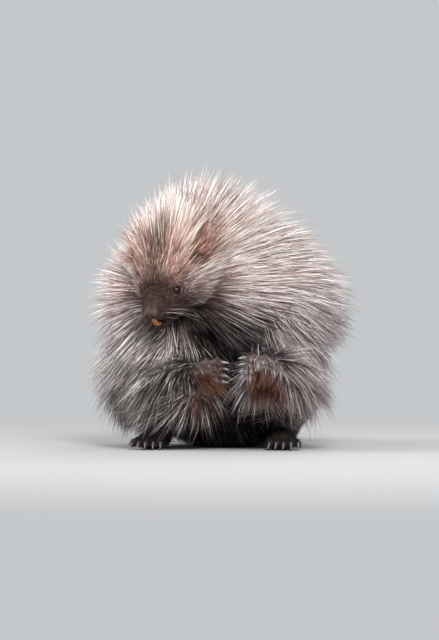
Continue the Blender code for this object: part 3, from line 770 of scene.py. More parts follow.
def markings(p, n, share):
    """Colours by place: root, dark hair's middle and tip, pale hair's tip, share of pale hairs."""
    h = to_head(p)
    one = np.ones((len(p), 3))

    def mix(a, b, w):
        w = np.clip(w, 0, 1)[:, None]
        return a * (1 - w) + np.asarray(b) * w

    def mixf(a, b, w):
        w = np.clip(w, 0, 1)
        return a * (1 - w) + b * w

    body = share["trunk"] + share["neck"]
    top = ramp(p[:, 2], 165, 262)
    low = ramp(-p[:, 2], -164, -80)
    front = ramp(-p[:, 1], -10, 60)
    behind = ramp(p[:, 1], 20, 120)
    left = ramp(p[:, 0], -20, 60)
    # trunk: mauve-brown flanks, darker below, warm and pale above
    root = mix(one * DARK_BROWN, (0.175, 0.116, 0.104), top)
    mid = mix(one * (0.165, 0.112, 0.105), (0.34, 0.222, 0.202), top)
    mid = mix(mid, (0.030, 0.021, 0.0195), low)
    tip = mix(one * (0.280, 0.215, 0.225), (0.52, 0.385, 0.360), top)
    tip = mix(tip, (0.052, 0.039, 0.038), low)
    pale = mix(one * (0.84, 0.745, 0.765), (0.87, 0.765, 0.735), top)
    pale = mix(pale, (0.90, 0.83, 0.81), low)
    much = mixf(np.full(len(p), 0.50), 0.62, top)
    much = mixf(much, 0.41, low)
    right = ramp(-p[:, 0], 50, 105) * (1 - behind)
    much = much + 0.26 * right
    mid = mid * (1 + 1.0 * right[:, None])
    tip = tip * (1 + 0.42 * right[:, None])
    # behind: the back is darker, with cream tips
    mid = mix(mid, (0.048, 0.033, 0.028), behind * 0.8)
    tip = mix(tip, (0.095, 0.069, 0.059), behind * 0.8)
    pale = mix(pale, (0.74, 0.65, 0.54), behind * 0.75)
    much = mixf(much, 0.40, behind)
    # crown and nape: red-brown below cream
    crown = share["head"] * ramp(-h[:, 0], -2, 28) * ramp(h[:, 2], -8, 12)
    nape = share["neck"] * ramp(-h[:, 0], -10, 20) * (1 - ramp(-h[:, 0], 70, 120)) * ramp(p[:, 2], 190, 235)
    red = np.clip(crown + nape, 0, 1)
    high = ramp(-h[:, 0], 18, 52)[:, None]
    root = mix(root, np.array([0.115, 0.044, 0.027]) * (1 - high) + np.array([0.20, 0.100, 0.075]) * high, red)
    mid = mix(mid, np.array([0.37, 0.178, 0.130]) * (1 - high) + np.array([0.49, 0.330, 0.285]) * high, red)
    tip = mix(tip, np.array([0.58, 0.395, 0.340]) * (1 - high) + np.array([0.66, 0.545, 0.505]) * high, red)
    pale = mix(pale, np.array([0.84, 0.73, 0.685]) * (1 - high) + np.array([0.82, 0.76, 0.725]) * high, red)
    much = mixf(much, 0.42 + 0.14 * high[:, 0], red)
    # face: short, dark and greyish; cheeks lead over to the flank
    face = share["head"] * (1 - ramp(-h[:, 0], 2, 34) * ramp(h[:, 2], -10, 10)) * (1 - 0.8 * ramp(-h[:, 0], 16, 48))
    root = mix(root, (0.013, 0.007, 0.0055), face * (1 - ramp(-h[:, 0], -4, 14)))
    mid = mix(mid, (0.031, 0.0138, 0.0108), face)
    tip = mix(tip, (0.055, 0.027, 0.0225), face)
    pale = mix(pale, np.array([0.20, 0.135, 0.125]) + np.array([0.44, 0.375, 0.36]) * ramp(-h[:, 0], -8, 22)[:, None], face)
    much = mixf(much, 0.15 + 0.42 * ramp(-h[:, 0], -6, 20), face)
    cheeks = face * ramp(-h[:, 0], -4, 14)
    mid = mix(mid, (0.185, 0.118, 0.106), cheeks * 0.85)
    tip = mix(tip, (0.32, 0.215, 0.195), cheeks * 0.85)
    much = mixf(much, 0.62, cheeks * 0.6)
    brow = share["head"] * ramp(-h[:, 0], -8, 8) * (1 - ramp(-h[:, 0], 16, 38)) * ramp(h[:, 2], 2, 14)
    mid = mix(mid, (0.180, 0.075, 0.050), brow * 0.85)
    tip = mix(tip, (0.40, 0.195, 0.138), brow * 0.85)
    pale = mix(pale, (0.68, 0.48, 0.41), brow * 0.85)
    much = mixf(much, 0.34, brow * 0.85)
    # a dark wedge runs up the middle of the forehead
    wedge = share["head"] * np.exp(-(((h[:, 1] + 1) / 11.0) ** 2)) * ramp(-h[:, 0], -16, 0) * (1 - ramp(-h[:, 0], 22, 54)) * ramp(h[:, 2], 0, 10)
    root = mix(root, (0.020, 0.013, 0.008), wedge * 0.9)
    mid = mix(mid, (0.042, 0.027, 0.018), wedge * 0.9)
    tip = mix(tip, (0.085, 0.057, 0.041), wedge * 0.9)
    much = mixf(much, 0.10, wedge * 0.9)
    # breast: dark grey; throat and belly: dark fur painted near black, as painted shade under the jaw and in the gap
    # between the arms
    front_low = ramp(-p[:, 1], 20, 62) * ramp(-p[:, 2] - 15 * ramp(-p[:, 0], 8, 36), -202, -166) * body
    breast = front_low * ramp(p[:, 0], -112, -84) * (1 - ramp(p[:, 0], 30, 60))
    root = mix(root, NEAR_BLACK, breast)
    mid = mix(mid, (0.026, 0.019, 0.018), breast)
    tip = mix(tip, (0.050, 0.038, 0.037), breast)
    pale = mix(pale, (0.62, 0.56, 0.55), breast)
    much = mixf(much, 0.24, breast)
    belly_gap_shade = ramp(-p[:, 1], 20, 62) * ramp(-p[:, 2], -206, -168) * body * (1 - ramp(np.abs(p[:, 0] - 2), 46, 64))
    throat_shade = share["head"] * ramp(-h[:, 2], 24, 36) * (1 - ramp(h[:, 0], -6, 8))
    # painted shade: under the jaw and between the arms, roots, hairs and pale tips are darkened to near black, and few
    # hairs are pale
    gap_shade = np.clip(belly_gap_shade + throat_shade, 0, 1)
    root = mix(root, NEAR_BLACK * 0.5, gap_shade)
    mid = mix(mid, (0.0045, 0.0032, 0.003), gap_shade)
    tip = mix(tip, (0.007, 0.0048, 0.0044), gap_shade)
    pale = mix(pale, (0.26, 0.22, 0.215), gap_shade)
    much = mixf(much, 0.035, gap_shade)
    # arms: grey-lilac above, rusty below
    arm = share["arm"] + share["hand"]
    root = mix(root, (0.030, 0.021, 0.020), arm)
    is_left = ramp(p[:, 0], 0, 30)[:, None]
    mid = mix(mid, np.array([0.042, 0.030, 0.029]) * (1 - is_left) + np.array([0.175, 0.130, 0.135]) * is_left, arm)
    tip = mix(tip, np.array([0.075, 0.057, 0.056]) * (1 - is_left) + np.array([0.33, 0.255, 0.262]) * is_left, arm)
    pale = mix(pale, (0.63, 0.56, 0.555), arm)
    much = mixf(much, 0.27 + 0.15 * is_left[:, 0], arm)
    outside = arm * ramp(-p[:, 0], 52, 84)
    mid = mix(mid, (0.075, 0.056, 0.055), outside)
    tip = mix(tip, (0.130, 0.102, 0.101), outside)
    pale = mix(pale, (0.80, 0.73, 0.72), outside)
    much = mixf(much, 0.46, outside)
    inner = arm * is_left[:, 0] * (1 - ramp(p[:, 0], 50, 68)) * ramp(p[:, 2], 116, 134)
    mid = mix(mid, (0.020, 0.014, 0.013), inner)
    tip = mix(tip, (0.034, 0.025, 0.024), inner)
    much = mixf(much, 0.14, inner)
    hand = share["hand"]
    mid = mix(mid, np.array([0.085, 0.055, 0.050]) * (1 - is_left) + np.array([0.150, 0.108, 0.108]) * is_left, hand * 0.8)
    tip = mix(tip, np.array([0.19, 0.130, 0.115]) * (1 - is_left) + np.array([0.30, 0.225, 0.225]) * is_left, hand * 0.8)
    pale = mix(pale, np.array([0.42, 0.32, 0.30]) * (1 - is_left) + np.array([0.68, 0.60, 0.60]) * is_left, hand * 0.8)
    much = mixf(much, 0.15 + 0.25 * is_left[:, 0], hand)
    under = arm * ramp(-n[:, 2], -0.30, 0.20) * ramp(-p[:, 1], 88, 110) * ramp(p[:, 0], -34, -20) * (1 - ramp(p[:, 0], 80, 98))
    mid = mix(mid, (0.095, 0.031, 0.016), under)
    tip = mix(tip, (0.170, 0.064, 0.036), under)
    pale = mix(pale, (0.34, 0.16, 0.105), under)
    much = mixf(much, 0.10, under)
    # legs and feet
    leg, foot = share["leg"], share["foot"]
    mid = mix(mid, (0.055, 0.040, 0.037), leg)
    tip = mix(tip, (0.100, 0.076, 0.072), leg)
    pale = mix(pale, (0.60, 0.54, 0.53), leg)
    much = mixf(much, 0.36, leg)
    root = mix(root, NEAR_BLACK, foot)
    mid = mix(mid, (0.026, 0.018, 0.016), foot)
    tip = mix(tip, (0.050, 0.036, 0.032), foot)
    pale = mix(pale, (0.16, 0.12, 0.11), foot)
    much = mixf(much, 0.10, foot)
    # tail
    mid = mix(mid, (0.050, 0.036, 0.032), share["tail"])
    tip = mix(tip, (0.085, 0.062, 0.056), share["tail"])
    pale = mix(pale, (0.62, 0.54, 0.46), share["tail"])
    much = mixf(much, 0.32, share["tail"])
    # ears
    ear = share["ear"]
    root = mix(root, (0.055, 0.024, 0.016), ear)
    mid = mix(mid, (0.13, 0.055, 0.035), ear)
    tip = mix(tip, (0.24, 0.115, 0.078), ear)
    pale = mix(pale, (0.42, 0.26, 0.20), ear)
    much = mixf(much, 0.15, ear)
    near = by_ear(p) * 0.95
    root = mix(root, (0.045, 0.019, 0.013), near)
    mid = mix(mid, (0.13, 0.045, 0.027), near)
    tip = mix(tip, (0.27, 0.100, 0.060), near)
    pale = mix(pale, (0.58, 0.34, 0.245), near)
    much = mixf(much, 0.16, near)
    return root, mid, tip, pale, much


# ---- roots ------------------------------------------------------------------------
tri_a, tri_b, tri_c = (skin_p[skin_t[:, k]] for k in range(3))
tri_area = 0.5 * np.linalg.norm(np.cross(tri_b - tri_a, tri_c - tri_a), axis=1)
tri_mid = (tri_a + tri_b + tri_c) / 3
tri_n = unit(np.cross(tri_b - tri_a, tri_c - tri_a))
tri_share = belonging(tri_mid)
tri_h = to_head(tri_mid)


def bare(p, n, h):
    """Places with no hair: eyes, lips, inside of mouth and nostrils, soles."""
    out = np.zeros(len(p), bool)
    for centre, look, ahead, above in EYES:
        d = p - centre
        x, y, z = d @ ahead, d @ above, d @ look
        out |= (np.linalg.norm(d, axis=1) < 6.8) | ((np.sqrt(x**2 + y**2) < 6.2) & (z > 0) & (z < 9))
    f, l, u = h[:, 0], np.abs(h[:, 1]), h[:, 2]
    out |= (f > 38.5) & (l < 7.5) & (u > -17) & (u < -5.5)  # nose pad
    out |= (f > 2) & (f < 36) & (l < 11) & (u < -26.0) & (u > -34.0)  # mouth
    out |= p[:, 2] < 2.2
    out |= (n[:, 2] < -0.7) & (p[:, 2] < 6) & (p[:, 1] < 10)  # soles
    for c, r, axes in EARS:
        out |= np.linalg.norm(((p - c) @ axes.T) / (r * np.array([1.6, 0.85, 0.85])), axis=1) < 1.0
    return out


tri_bare = bare(tri_mid, tri_n, tri_h)


def sow(weight, count):
    """Roots spread evenly by area times weight: place, normal, map place."""
    w = tri_area * weight * (~tri_bare)
    edges = np.cumsum(w)
    at = (np.arange(count) + rng.random(count)) / count * edges[-1]
    tri = np.minimum(np.searchsorted(edges, at), len(w) - 1)
    a, b = rng.random(count), rng.random(count)
    over = a + b > 1
    a[over], b[over] = 1 - a[over], 1 - b[over]
    c = 1 - a - b
    t = skin_t[tri]
    mixw = np.stack([c, a, b], 1)[:, :, None]
    p = (skin_p[t] * mixw).sum(1)
    n = unit((skin_n[t] * mixw).sum(1))
    uv = (skin_uv[tri] * mixw).sum(1)
    return p, n, uv


# ---- hairs --------------------------------------------------------------------------
PATCH = 3.0 / 1024.0
coat_total = [0]


def own_patches(uv):
    """Gives each hair a free square of the map beside its root's place."""
    cells = int(1.0 / PATCH)
    taken = {}
    out = np.empty((len(uv), 2))
    base = np.clip((uv / PATCH).astype(int), 0, cells - 1)
    rings = [(dx, dy) for r in range(0, 24) for dx in range(-r, r + 1) for dy in range(-r, r + 1) if max(abs(dx), abs(dy)) == r]
    last = {}
    for i, (x, y) in enumerate(base.tolist()):
        k = last.get((x, y), 0)
        while True:
            dx, dy = rings[k] if k < len(rings) else (0, 0)
            q = (x + dx, y + dy)
            if k >= len(rings) or (q not in taken and 0 <= q[0] < cells and 0 <= q[1] < cells):
                break
            k += 1
        last[(x, y)] = k + 1
        taken[q] = 1
        out[i] = q
    return (out + 0.5) * PATCH


def grow(name, n, uv, path, width, colours, material, stops, flat=0.6, slot="coat"):
    """Makes closed three-sided tapering hairs along the given paths.

    path: (hairs, stops, 3) points; width: (hairs,); colours: (hairs, stops, 3).
    """
    count, rings = path.shape[0], path.shape[1] - 1  # the last point is the tip
    along = np.diff(path, axis=1)
    along = unit(np.concatenate([along, along[:, -1:]], 1))
    side = unit(np.cross(along[:, 0], n) + 1e-6)
    profile = np.interp(stops, [0, 0.15, 0.5, 0.8, 1.0], [0.80, 1.0, 0.95, 0.60, 0.0])
    points = np.empty((count, rings * 3 + 1, 3))
    for k in range(rings):
        t = along[:, k]
        s1 = unit(side - (side * t).sum(-1, keepdims=True) * t)
        s2 = np.cross(t, s1)
        w = (width * profile[k] * 0.5)[:, None]
        for j, (cx, cy) in enumerate(((0.0, 1.0), (-0.95, -0.5), (0.95, -0.5))):
            points[:, k * 3 + j] = path[:, k] + s1 * w * cx + s2 * w * cy * flat
    points[:, -1] = path[:, -1]
    points[:, :, 2] = np.maximum(points[:, :, 2], 0.15)
    faces = [(0, 1, 2)]
    for k in range(rings - 1):
        for j in range(3):
            a, b = k * 3 + j, k * 3 + (j + 1) % 3
            c, d = a + 3, b + 3
            faces += [(a, c, b), (b, c, d)]
    top = (rings - 1) * 3
    faces += [(top + j, rings * 3, top + (j + 1) % 3) for j in range(3)]
    faces = np.array(faces)
    per = len(faces)
    # the map patch of one hair: across it runs around the hair, up it runs to the tip
    local = np.empty((rings * 3 + 1, 2))
    for k in range(rings):
        for j, x in enumerate((0.0, -0.38, 0.38)):
            local[k * 3 + j] = (x, -0.42 + 0.84 * stops[k])
    local[-1] = (0.0, 0.42)
    stop_of = np.array([k for k in range(rings) for _ in range(3)] + [rings])
    # hairs are dealt out in turn, so that every piece covers the whole animal
    most = 196000 // per
    shares = int(math.ceil(count / most))
    pieces = []
    for part in range(shares):
        sel = np.arange(part, count, shares)
        m = len(sel)
        tris = (faces[None] + (np.arange(m) * (rings * 3 + 1))[:, None, None]).reshape(-1, 3)
        spot = own_patches(uv[sel])
        uvs = spot[:, None] + local[None] * PATCH * 0.86
        corner = uvs.reshape(-1, 2)[tris]
        obj = mesh_object(f"{name}_{part + 1}", points[sel].reshape(-1, 3), tris, corner)
        colour = np.ones((m * (rings * 3 + 1), 4), np.float32)
        colour[:, :3] = colours[sel][:, stop_of].reshape(-1, 3)
        attr = obj.data.attributes.new("tone", "FLOAT_COLOR", "POINT")
        attr.data.foreach_set("color", colour.ravel())
        obj.data.materials.append(material)
        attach(obj, "root")
        pieces.append(obj)
        coat_total[0] += len(tris)
    return pieces


def along_path(path, stops, s):
    """Points of each path at its own parameters s (hairs, m)."""
    k = np.clip(np.searchsorted(stops, s.ravel(), side="right") - 1, 0, len(stops) - 2).reshape(s.shape)
    rows = np.arange(len(path))[:, None]
    t = (s - stops[k]) / (stops[k + 1] - stops[k])
    return path[rows, k] * (1 - t)[:, :, None] + path[rows, k + 1] * t[:, :, None]


def hair_paths(p, n, length, flow, lift, stops, bend, sag, stray, wave):
    """Curved paths from the roots: lifted off the skin, then laid along it."""
    count = len(p)
    jitter = np.radians(rng.normal(0, 1, count) * stray)
    jitter2 = np.radians(rng.normal(0, 0.7, count) * stray)
    side = unit(np.cross(n, flow))
    a = flow * np.cos(jitter)[:, None] + side * np.sin(jitter)[:, None]
    up = np.clip(lift + jitter2, 0.08, 1.5)
    d = unit(a * np.cos(up)[:, None] + n * np.sin(up)[:, None])
    t = stops[None, :, None]
    lay = (a - d * (a * d).sum(-1, keepdims=True))[:, None]
    phase = rng.random((count, 2)) * 2 * np.pi
    turns = rng.uniform(0.5, 1.15, count)
    wob = np.sin(2 * np.pi * turns[:, None] * stops[None] + phase[:, :1]) - np.sin(phase[:, :1])
    wob2 = np.sin(2 * np.pi * turns[:, None] * stops[None] + phase[:, 1:]) - np.sin(phase[:, 1:])
    reach = length[:, None, None]
    path = (p - n * 0.4)[:, None] + d[:, None] * reach * t
    path = path + lay * reach * bend * t**2 + DOWN * reach * sag * t**2
    size = (wave * (0.2 + length / 60.0))[:, None, None] * t
    path = path + side[:, None] * wob[:, :, None] * size + n[:, None] * wob2[:, :, None] * size * 0.6
    return path


def coat_material(name, rough, sheen, noise_amount, bump=0.0, gloss=0.35):
    mat = bpy.data.materials.new(name)
    mat.use_nodes = True
    nt = mat.node_tree
    b = nt.nodes["Principled BSDF"]
    b.inputs["Roughness"].default_value = rough
    b.inputs["Specular IOR Level"].default_value = gloss
    b.inputs["Sheen Weight"].default_value = sheen
    b.inputs["Sheen Roughness"].default_value = 0.5
    tone = nt.nodes.new("ShaderNodeAttribute")
    tone.attribute_name = "tone"
    where = nt.nodes.new("ShaderNodeTexCoord")
    noise = nt.nodes.new("ShaderNodeTexNoise")
    noise.inputs["Scale"].default_value = 240.0
    noise.inputs["Detail"].default_value = 3.0
    nt.links.new(where.outputs["Object"], noise.inputs["Vector"])
    span = nt.nodes.new("ShaderNodeMapRange")
    span.inputs["To Min"].default_value = 1.0 - noise_amount
    span.inputs["To Max"].default_value = 1.0 + noise_amount
    nt.links.new(noise.outputs["Fac"], span.inputs["Value"])
    times = nt.nodes.new("ShaderNodeVectorMath")
    times.operation = "SCALE"
    nt.links.new(tone.outputs["Color"], times.inputs[0])
    nt.links.new(span.outputs["Result"], times.inputs["Scale"])
    nt.links.new(times.outputs["Vector"], b.inputs["Base Color"])
    if bump:
        fine = nt.nodes.new("ShaderNodeTexNoise")
        fine.inputs["Scale"].default_value = 900.0
        fine.inputs["Detail"].default_value = 2.0
        nt.links.new(where.outputs["Object"], fine.inputs["Vector"])
        rise = nt.nodes.new("ShaderNodeBump")
        rise.inputs["Strength"].default_value = bump
        rise.inputs["Distance"].default_value = 0.0006
        nt.links.new(fine.outputs["Fac"], rise.inputs["Height"])
        nt.links.new(rise.outputs["Normal"], b.inputs["Normal"])
    return mat


HAIR = coat_material("guard_hair", 0.42, 0.0, 0.25, gloss=0.26)
WOOL = coat_material("wool", 0.80, 0.0, 0.25, gloss=0.06)
SHORT = coat_material("short_fur", 0.55, 0.0, 0.22, gloss=0.09)
QUILL = coat_material("quill", 0.34, 0.0, 0.12, gloss=0.45)


# the coat keeps within the solids' box and the little that hair may stand proud of it
_lo, _hi = np.array(cad_box[0]) / MM - SHIFT, np.array(cad_box[1]) / MM - SHIFT
PROUD = 0.03 * (_hi - _lo) + 8.0
ROOM_LOW, ROOM_HIGH = _lo - PROUD, _hi + PROUD
ROOM_LOW[2] = -50.0


def arm_distance(p):
    d = np.full(len(p), 200.0)
    for a, ra, b, rb, _, g in LIMBS:
        if g == "arm":
            d = np.minimum(d, limb_distance(p, a, ra, b, rb))
    return d


def dress(name, roots, stops, thick, length_of, material, thin=0.0075, flat=0.6, bend=0.25, sag=0.10, stray=7.0, wave=0.9,
          lift_scale=1.0, lock=0.0, gap=8.0, bright=1.0, pale_scale=1.0, spread=0.20, slot="coat"):
    p, n, uv = roots
    share = belonging(p)
    flow, lift = lie(p, n, share)
    lift = lift * lift_scale
    length = length_of(p, n, share, flow, lift)
    small = share["head"] * ramp(to_head(p)[:, 0], -30, 0)
    path = hair_paths(p, n, length, flow, lift, stops, bend, sag, stray * (1 - 0.3 * small), wave * (1 - 0.6 * small))
    lead = np.arange(len(p))
    if lock > 0:
        # neighbours lean together into pointed locks
        cells = np.floor(p / gap + rng.random(3) * 7).astype(int)
        code = cells[:, 0] * 73856093 ^ cells[:, 1] * 19349663 ^ cells[:, 2] * 83492791
        _, first, back = np.unique(code, return_index=True, return_inverse=True)
        lead = first[back]
        loose = ramp(p[:, 2], 110, 210) * 0.66
        pull = (lock * (1 - loose) * rng.uniform(0.35, 1.0, len(p)))[:, None, None] * (stops[None, :, None] ** 1.4)
        target = path[lead] + (p - p[lead])[:, None] * (1 - 0.90 * stops[None, :, None] ** 1.2)
        scale = (length / np.maximum(length[lead], 1.0))[:, None, None]
        target = p[:, None] + (target - p[:, None]) * np.clip(scale, 0.6, 1.6)
        path = path * (1 - pull) + target * pull
    # hair that would run into an arm leans out over it, at its own length
    over = np.nonzero((p[:, 1] < -5) & (p[:, 2] > 114) & (share["head"] < 0.3) & (share["hand"] < 0.3) & (share["arm"] < 0.6) & (length > 24))[0]
    lean = np.zeros((len(over), 3))
    for k in range(1, len(stops)):
        q = path[over, k] + lean * stops[k]
        near = np.nonzero(arm_distance(q) < 2.0)[0]
        for _ in range(2):
            f, g = gradient(q[near], flesh, 0.4)
            step = np.clip(3.0 - f, 0, 13)[:, None] * unit(unit(g) - np.array([0, 0.8, 0]))
            q[near] += step
            lean[near] += step / stops[k]
    way = path[over] - p[over][:, None]
    far = np.linalg.norm(way, axis=-1, keepdims=True)
    path[over] = p[over][:, None] + unit(way + lean[:, None] * stops[None, :, None]) * far
    # a hair ends where it would run into the body
    s = np.linspace(0.16, 1.0, 7)[None].repeat(len(p), 0)
    probe = along_path(path, stops, s)
    hit = flesh(probe.reshape(-1, 3)).reshape(len(p), -1) < -0.8
    hit |= ((probe < ROOM_LOW) | (probe > ROOM_HIGH)).any(-1)
    # hair that would fall over an ear parts around it
    for (c, _, _), side in zip(EARS, (1, -1)):
        middle = c + L_AX * side * 9 + F_AX * 3
        within = np.linalg.norm((probe - middle) @ HEAD.T / np.array([15.0, 17.0, 15.0]), axis=-1) < 1
        outside = np.linalg.norm((p - middle) @ HEAD.T / np.array([15.0, 17.0, 15.0]), axis=-1) > 1
        hit |= within & (outside & (rng.random(len(p)) < 0.82))[:, None]
    until = np.where(hit.any(1), s[0][np.maximum(hit.argmax(1) - 1, 0)], 1.0)
    until = np.where(hit[:, 0], 0.16, until)
    path = along_path(path, stops, stops[None] * until[:, None])
    path[:, :, 2] = np.maximum(path[:, :, 2], 0.5)
    length = length * until
    root, mid, tip, pale, much = markings(p, n, share)
    is_pale = np.clip((much * pale_scale - rng.random(len(p))) * 6 + 0.5, 0, 1)
    is_pale = is_pale * np.clip(rng.normal(0.92, 0.16, len(p)), 0.4, 1.1)
    tone = np.exp(rng.normal(0, spread, len(p)) + 0.7 * spread * rng.normal(0, 1, len(p))[lead])
    # each pale hair is pale from partway up to its tip: the animal's pale guard hair, run long and bright down the
    # strand as a painted highlight of the light along the hairs
    start = rng.uniform(0.16, 0.45, len(p))[:, None]
    s = stops[None]
    up = np.clip(s / 0.42, 0, 1)[:, :, None]
    over = np.clip((s - 0.40) / 0.55, 0, 1)[:, :, None]
    pale_and_highlight_band = (np.clip((s - start) / 0.28, 0, 1) * is_pale[:, None])[:, :, None]
    colours = root[:, None] * (1 - up) + mid[:, None] * up
    colours = colours * (1 - over) + tip[:, None] * over
    colours = colours * (1 - pale_and_highlight_band) + pale[:, None] * pale_and_highlight_band
    colours = np.clip(colours * tone[:, None, None] * bright, 0, 0.93)
    width = thick * (0.42 + thin * length) * np.exp(rng.normal(0, 0.18, len(p)))
    return grow(name, n, uv, path, width, colours, material, stops, flat, slot)


def long_length(p, n, share, flow, lift):
    d = unit(flow * np.cos(lift)[:, None] + n * np.sin(lift)[:, None])
    room = room_to_grow(p, d)
    body = share["trunk"] + share["neck"]
    most = 118 * body + 62 * share["tail"] + 74 * share["arm"] + 34 * share["hand"]
    most = most + 62 * share["leg"] + 14 * share["foot"] + 90 * share["head"] + 16 * share["ear"]
    length = np.minimum(room * 1.08, most)
    on_top = ramp(n[:, 2], -0.1, 0.5)
    beneath = ramp(-n[:, 2], 0.0, 0.5)
    arm = np.where(p[:, 0] < 20, 74, 74 - 24 * beneath)
    arm = arm - ramp(-p[:, 1], 92, 128) * np.where(p[:, 0] < 20, 34 + 6 * on_top, 24 + 28 * on_top - 12 * beneath)
    length = np.maximum(length, arm * share["arm"])
    length = np.where(share["arm"] > 0.4, np.minimum(length, arm * 1.1), length)
    length = np.where(share["hand"] > 0.35, np.where(p[:, 0] < 20, 8.0 + 24.0 * beneath, np.clip(length, 24.0, 34.0)), length)
    hh = to_head(p)
    own = head_length(hh)
    reach = np.minimum(room * 1.06, 128)
    own = own + np.maximum(reach - own, 0) * ramp(-hh[:, 0], 14, 40) * ramp(hh[:, 2], -4, 10)
    # the skirt of the body reaches down to the floor
    length = np.maximum(length, 52 * ramp(-p[:, 2], -80, -40) * share["trunk"])
    head = np.clip(share["head"] * 1.5, 0, 1)
    length = (length * (1 - head) + own * head) * (1 - 0.72 * by_ear(p))
    high = ramp(p[:, 2], 190, 240)
    wild = np.where(rng.random(len(p)) < 0.12, rng.uniform(1.02, 1.24, len(p)), rng.uniform(0.73, 1.03, len(p)) - (0.08 - 0.15 * ramp(-p[:, 0], 0, 60)) * high)
    return np.maximum(length * wild, 3.0)


def short_length(p, n, share, flow, lift):
    h = to_head(p)
    length = head_length(h) * (share["head"] + share["neck"] + share["trunk"]) + 9.0 * share["hand"] + 7.0 * share["foot"]
    length = length + 8.0 * share["ear"] + 16 * (share["arm"] + share["leg"])
    return np.maximum(length * rng.uniform(0.75, 1.15, len(p)), 1.0)


QUICK = 1.0
body_share = tri_share["trunk"] + tri_share["neck"] + tri_share["arm"] + tri_share["leg"] + 0.8 * tri_share["tail"]
head_long = tri_share["head"] * ramp(-tri_h[:, 0], -16, 12) ** 1.5
facing = 1.0 + 0.45 * ramp(-tri_mid[:, 1], -70, 50)
hidden = ramp(-tri_n[:, 2], 0.5, 0.95) * ramp(-tri_mid[:, 2], -30, -8)
dense_head = 1.6 + 3.6 * (1 - ramp(-tri_h[:, 0], 8, 46))
long_w = (body_share + dense_head * head_long) * facing * (1 - 0.8 * hidden) + 0.6 * tri_share["ear"] + 0.7 * tri_share["hand"] + 0.5 * tri_share["arm"]

FOUR = np.array([0, 0.34, 0.68, 1.0])
THREE = np.array([0, 0.5, 1.0])
dress("undercoat", sow(long_w, int(14000 * QUICK)), THREE, 2.0, lambda *a: long_length(*a) * 0.60, WOOL,
      lock=0.6, gap=9, bright=0.60, pale_scale=0.25, stray=11)
dress("guard", sow(long_w, int(57000 * QUICK)), FOUR, 1.0, long_length, HAIR, flat=0.7, lock=0.70, gap=9, stray=5.0, wave=0.7)
dress("bright_guard", sow(long_w * (0.45 + ramp(tri_mid[:, 2], 120, 230)), int(6800 * QUICK)), FOUR, 0.98,
      lambda *a: long_length(*a) * 1.08, HAIR, flat=0.7, lock=0.25, gap=9, stray=6, wave=0.6, bright=1.06, pale_scale=3.0, lift_scale=1.06)
face_w = tri_share["head"] * (1 - ramp(-tri_h[:, 0], 6, 24)) * (1.0 + 3.0 * ramp(tri_h[:, 0], -20, 20))
dress("face_fur", sow(face_w, int(20000 * QUICK)), THREE, 0.80, short_length, SHORT, thin=0.02, stray=9, wave=0.15, bend=0.3,
      sag=0.02, lock=0.3, gap=3.0, spread=0.12, slot="face")
paw_w = tri_share["hand"] * 1.6 + tri_share["foot"] + 1.5 * tri_share["ear"]
dress("paw_fur", sow(paw_w, int(8500 * QUICK)), THREE, 1.05, short_length, SHORT, thin=0.02, stray=10, wave=0.2, bend=0.3,
      sag=0.02, lock=0.3, gap=4.0, slot="paw")


def quill_length(p, n, share, flow, lift):
    d = unit(flow * np.cos(lift)[:, None] + n * np.sin(lift)[:, None])
    return np.clip(room_to_grow(p, d) * rng.uniform(0.70, 1.0, len(p)), 12, 58)


# barbed quills of the rump, the back and the tail, cream with dark points
rump = ramp(tri_mid[:, 1], 40, 120) * (tri_share["trunk"] + 1.6 * tri_share["tail"]) * ramp(tri_n[:, 2], -0.35, 0.35)
quill_roots = sow(rump, int(2600 * QUICK))
_markings = markings


def markings(p, n, share):
    root, mid, tip, pale, much = _markings(p, n, share)
    one = np.ones((len(p), 3))
    return one * (0.55, 0.48, 0.39), one * (0.78, 0.71, 0.60), one * (0.035, 0.025, 0.02), pale, much * 0.0


dress("quills", quill_roots, np.array([0, 0.40, 0.80, 1.0]), 2.1, quill_length, QUILL, thin=0.006, flat=0.95, bend=0.10, sag=0.0, stray=11,
      wave=0.0, lift_scale=1.05, lock=0.0, spread=0.08)
markings = _markings

# whiskers: long, pale and stiff, from the pads beside the nose
at, way, size = [], [], []
for s in (1, -1):
    for row in range(3):
        for k in range(4):
            f = 33.0 - 5.0 * k - rng.uniform(0, 2.0)
            l = s * (13.2 + 1.05 * k + rng.uniform(-0.6, 0.6))
            u = -11.5 - 3.9 * row + rng.uniform(-0.6, 0.6)
            at.append(in_head(f, l, u))
            way.append(unit(F_AX * rng.uniform(-0.70, -0.25) + L_AX * s * rng.uniform(0.75, 1.0) + U_AX * rng.uniform(-0.45, 0.05)))
            size.append(rng.uniform(14, 34) + 6.0 * k)
at, way, size = settle(np.array(at), field, 3, cap=3.0), np.array(way), np.array(size)
_, out = gradient(at, field)
out = unit(out)
whisker_uv = skin_uv.reshape(-1, 2)[np.array([np.argmin(((skin_p[skin_t].reshape(-1, 3) - a) ** 2).sum(-1)) for a in at])]
WHISKER = np.array([0, 0.17, 0.34, 0.52, 0.70, 0.86, 1.0])
t = WHISKER[None, :, None]
path = at[:, None] - out[:, None] * 0.8 + (way + out * 0.25)[:, None] * size[:, None, None] * t
path = path + (DOWN * 0.34 + L_AX * 0 - F_AX * 0.16)[None, None] * size[:, None, None] * t**2
inside = flesh(path.reshape(-1, 3)).reshape(path.shape[:2])
lift_off = np.maximum(-inside[:, 2:].min(1) + 0.6, 0)[:, None, None] * np.clip(t / 0.3, 0, 1)
path = path + out[:, None] * lift_off
pale_part = (0.30 + 0.70 * np.clip(t / 0.3, 0, 1)) * np.array([0.70, 0.63, 0.58]) * rng.choice([0.12, 0.45, 1.0], len(at))[:, None, None]
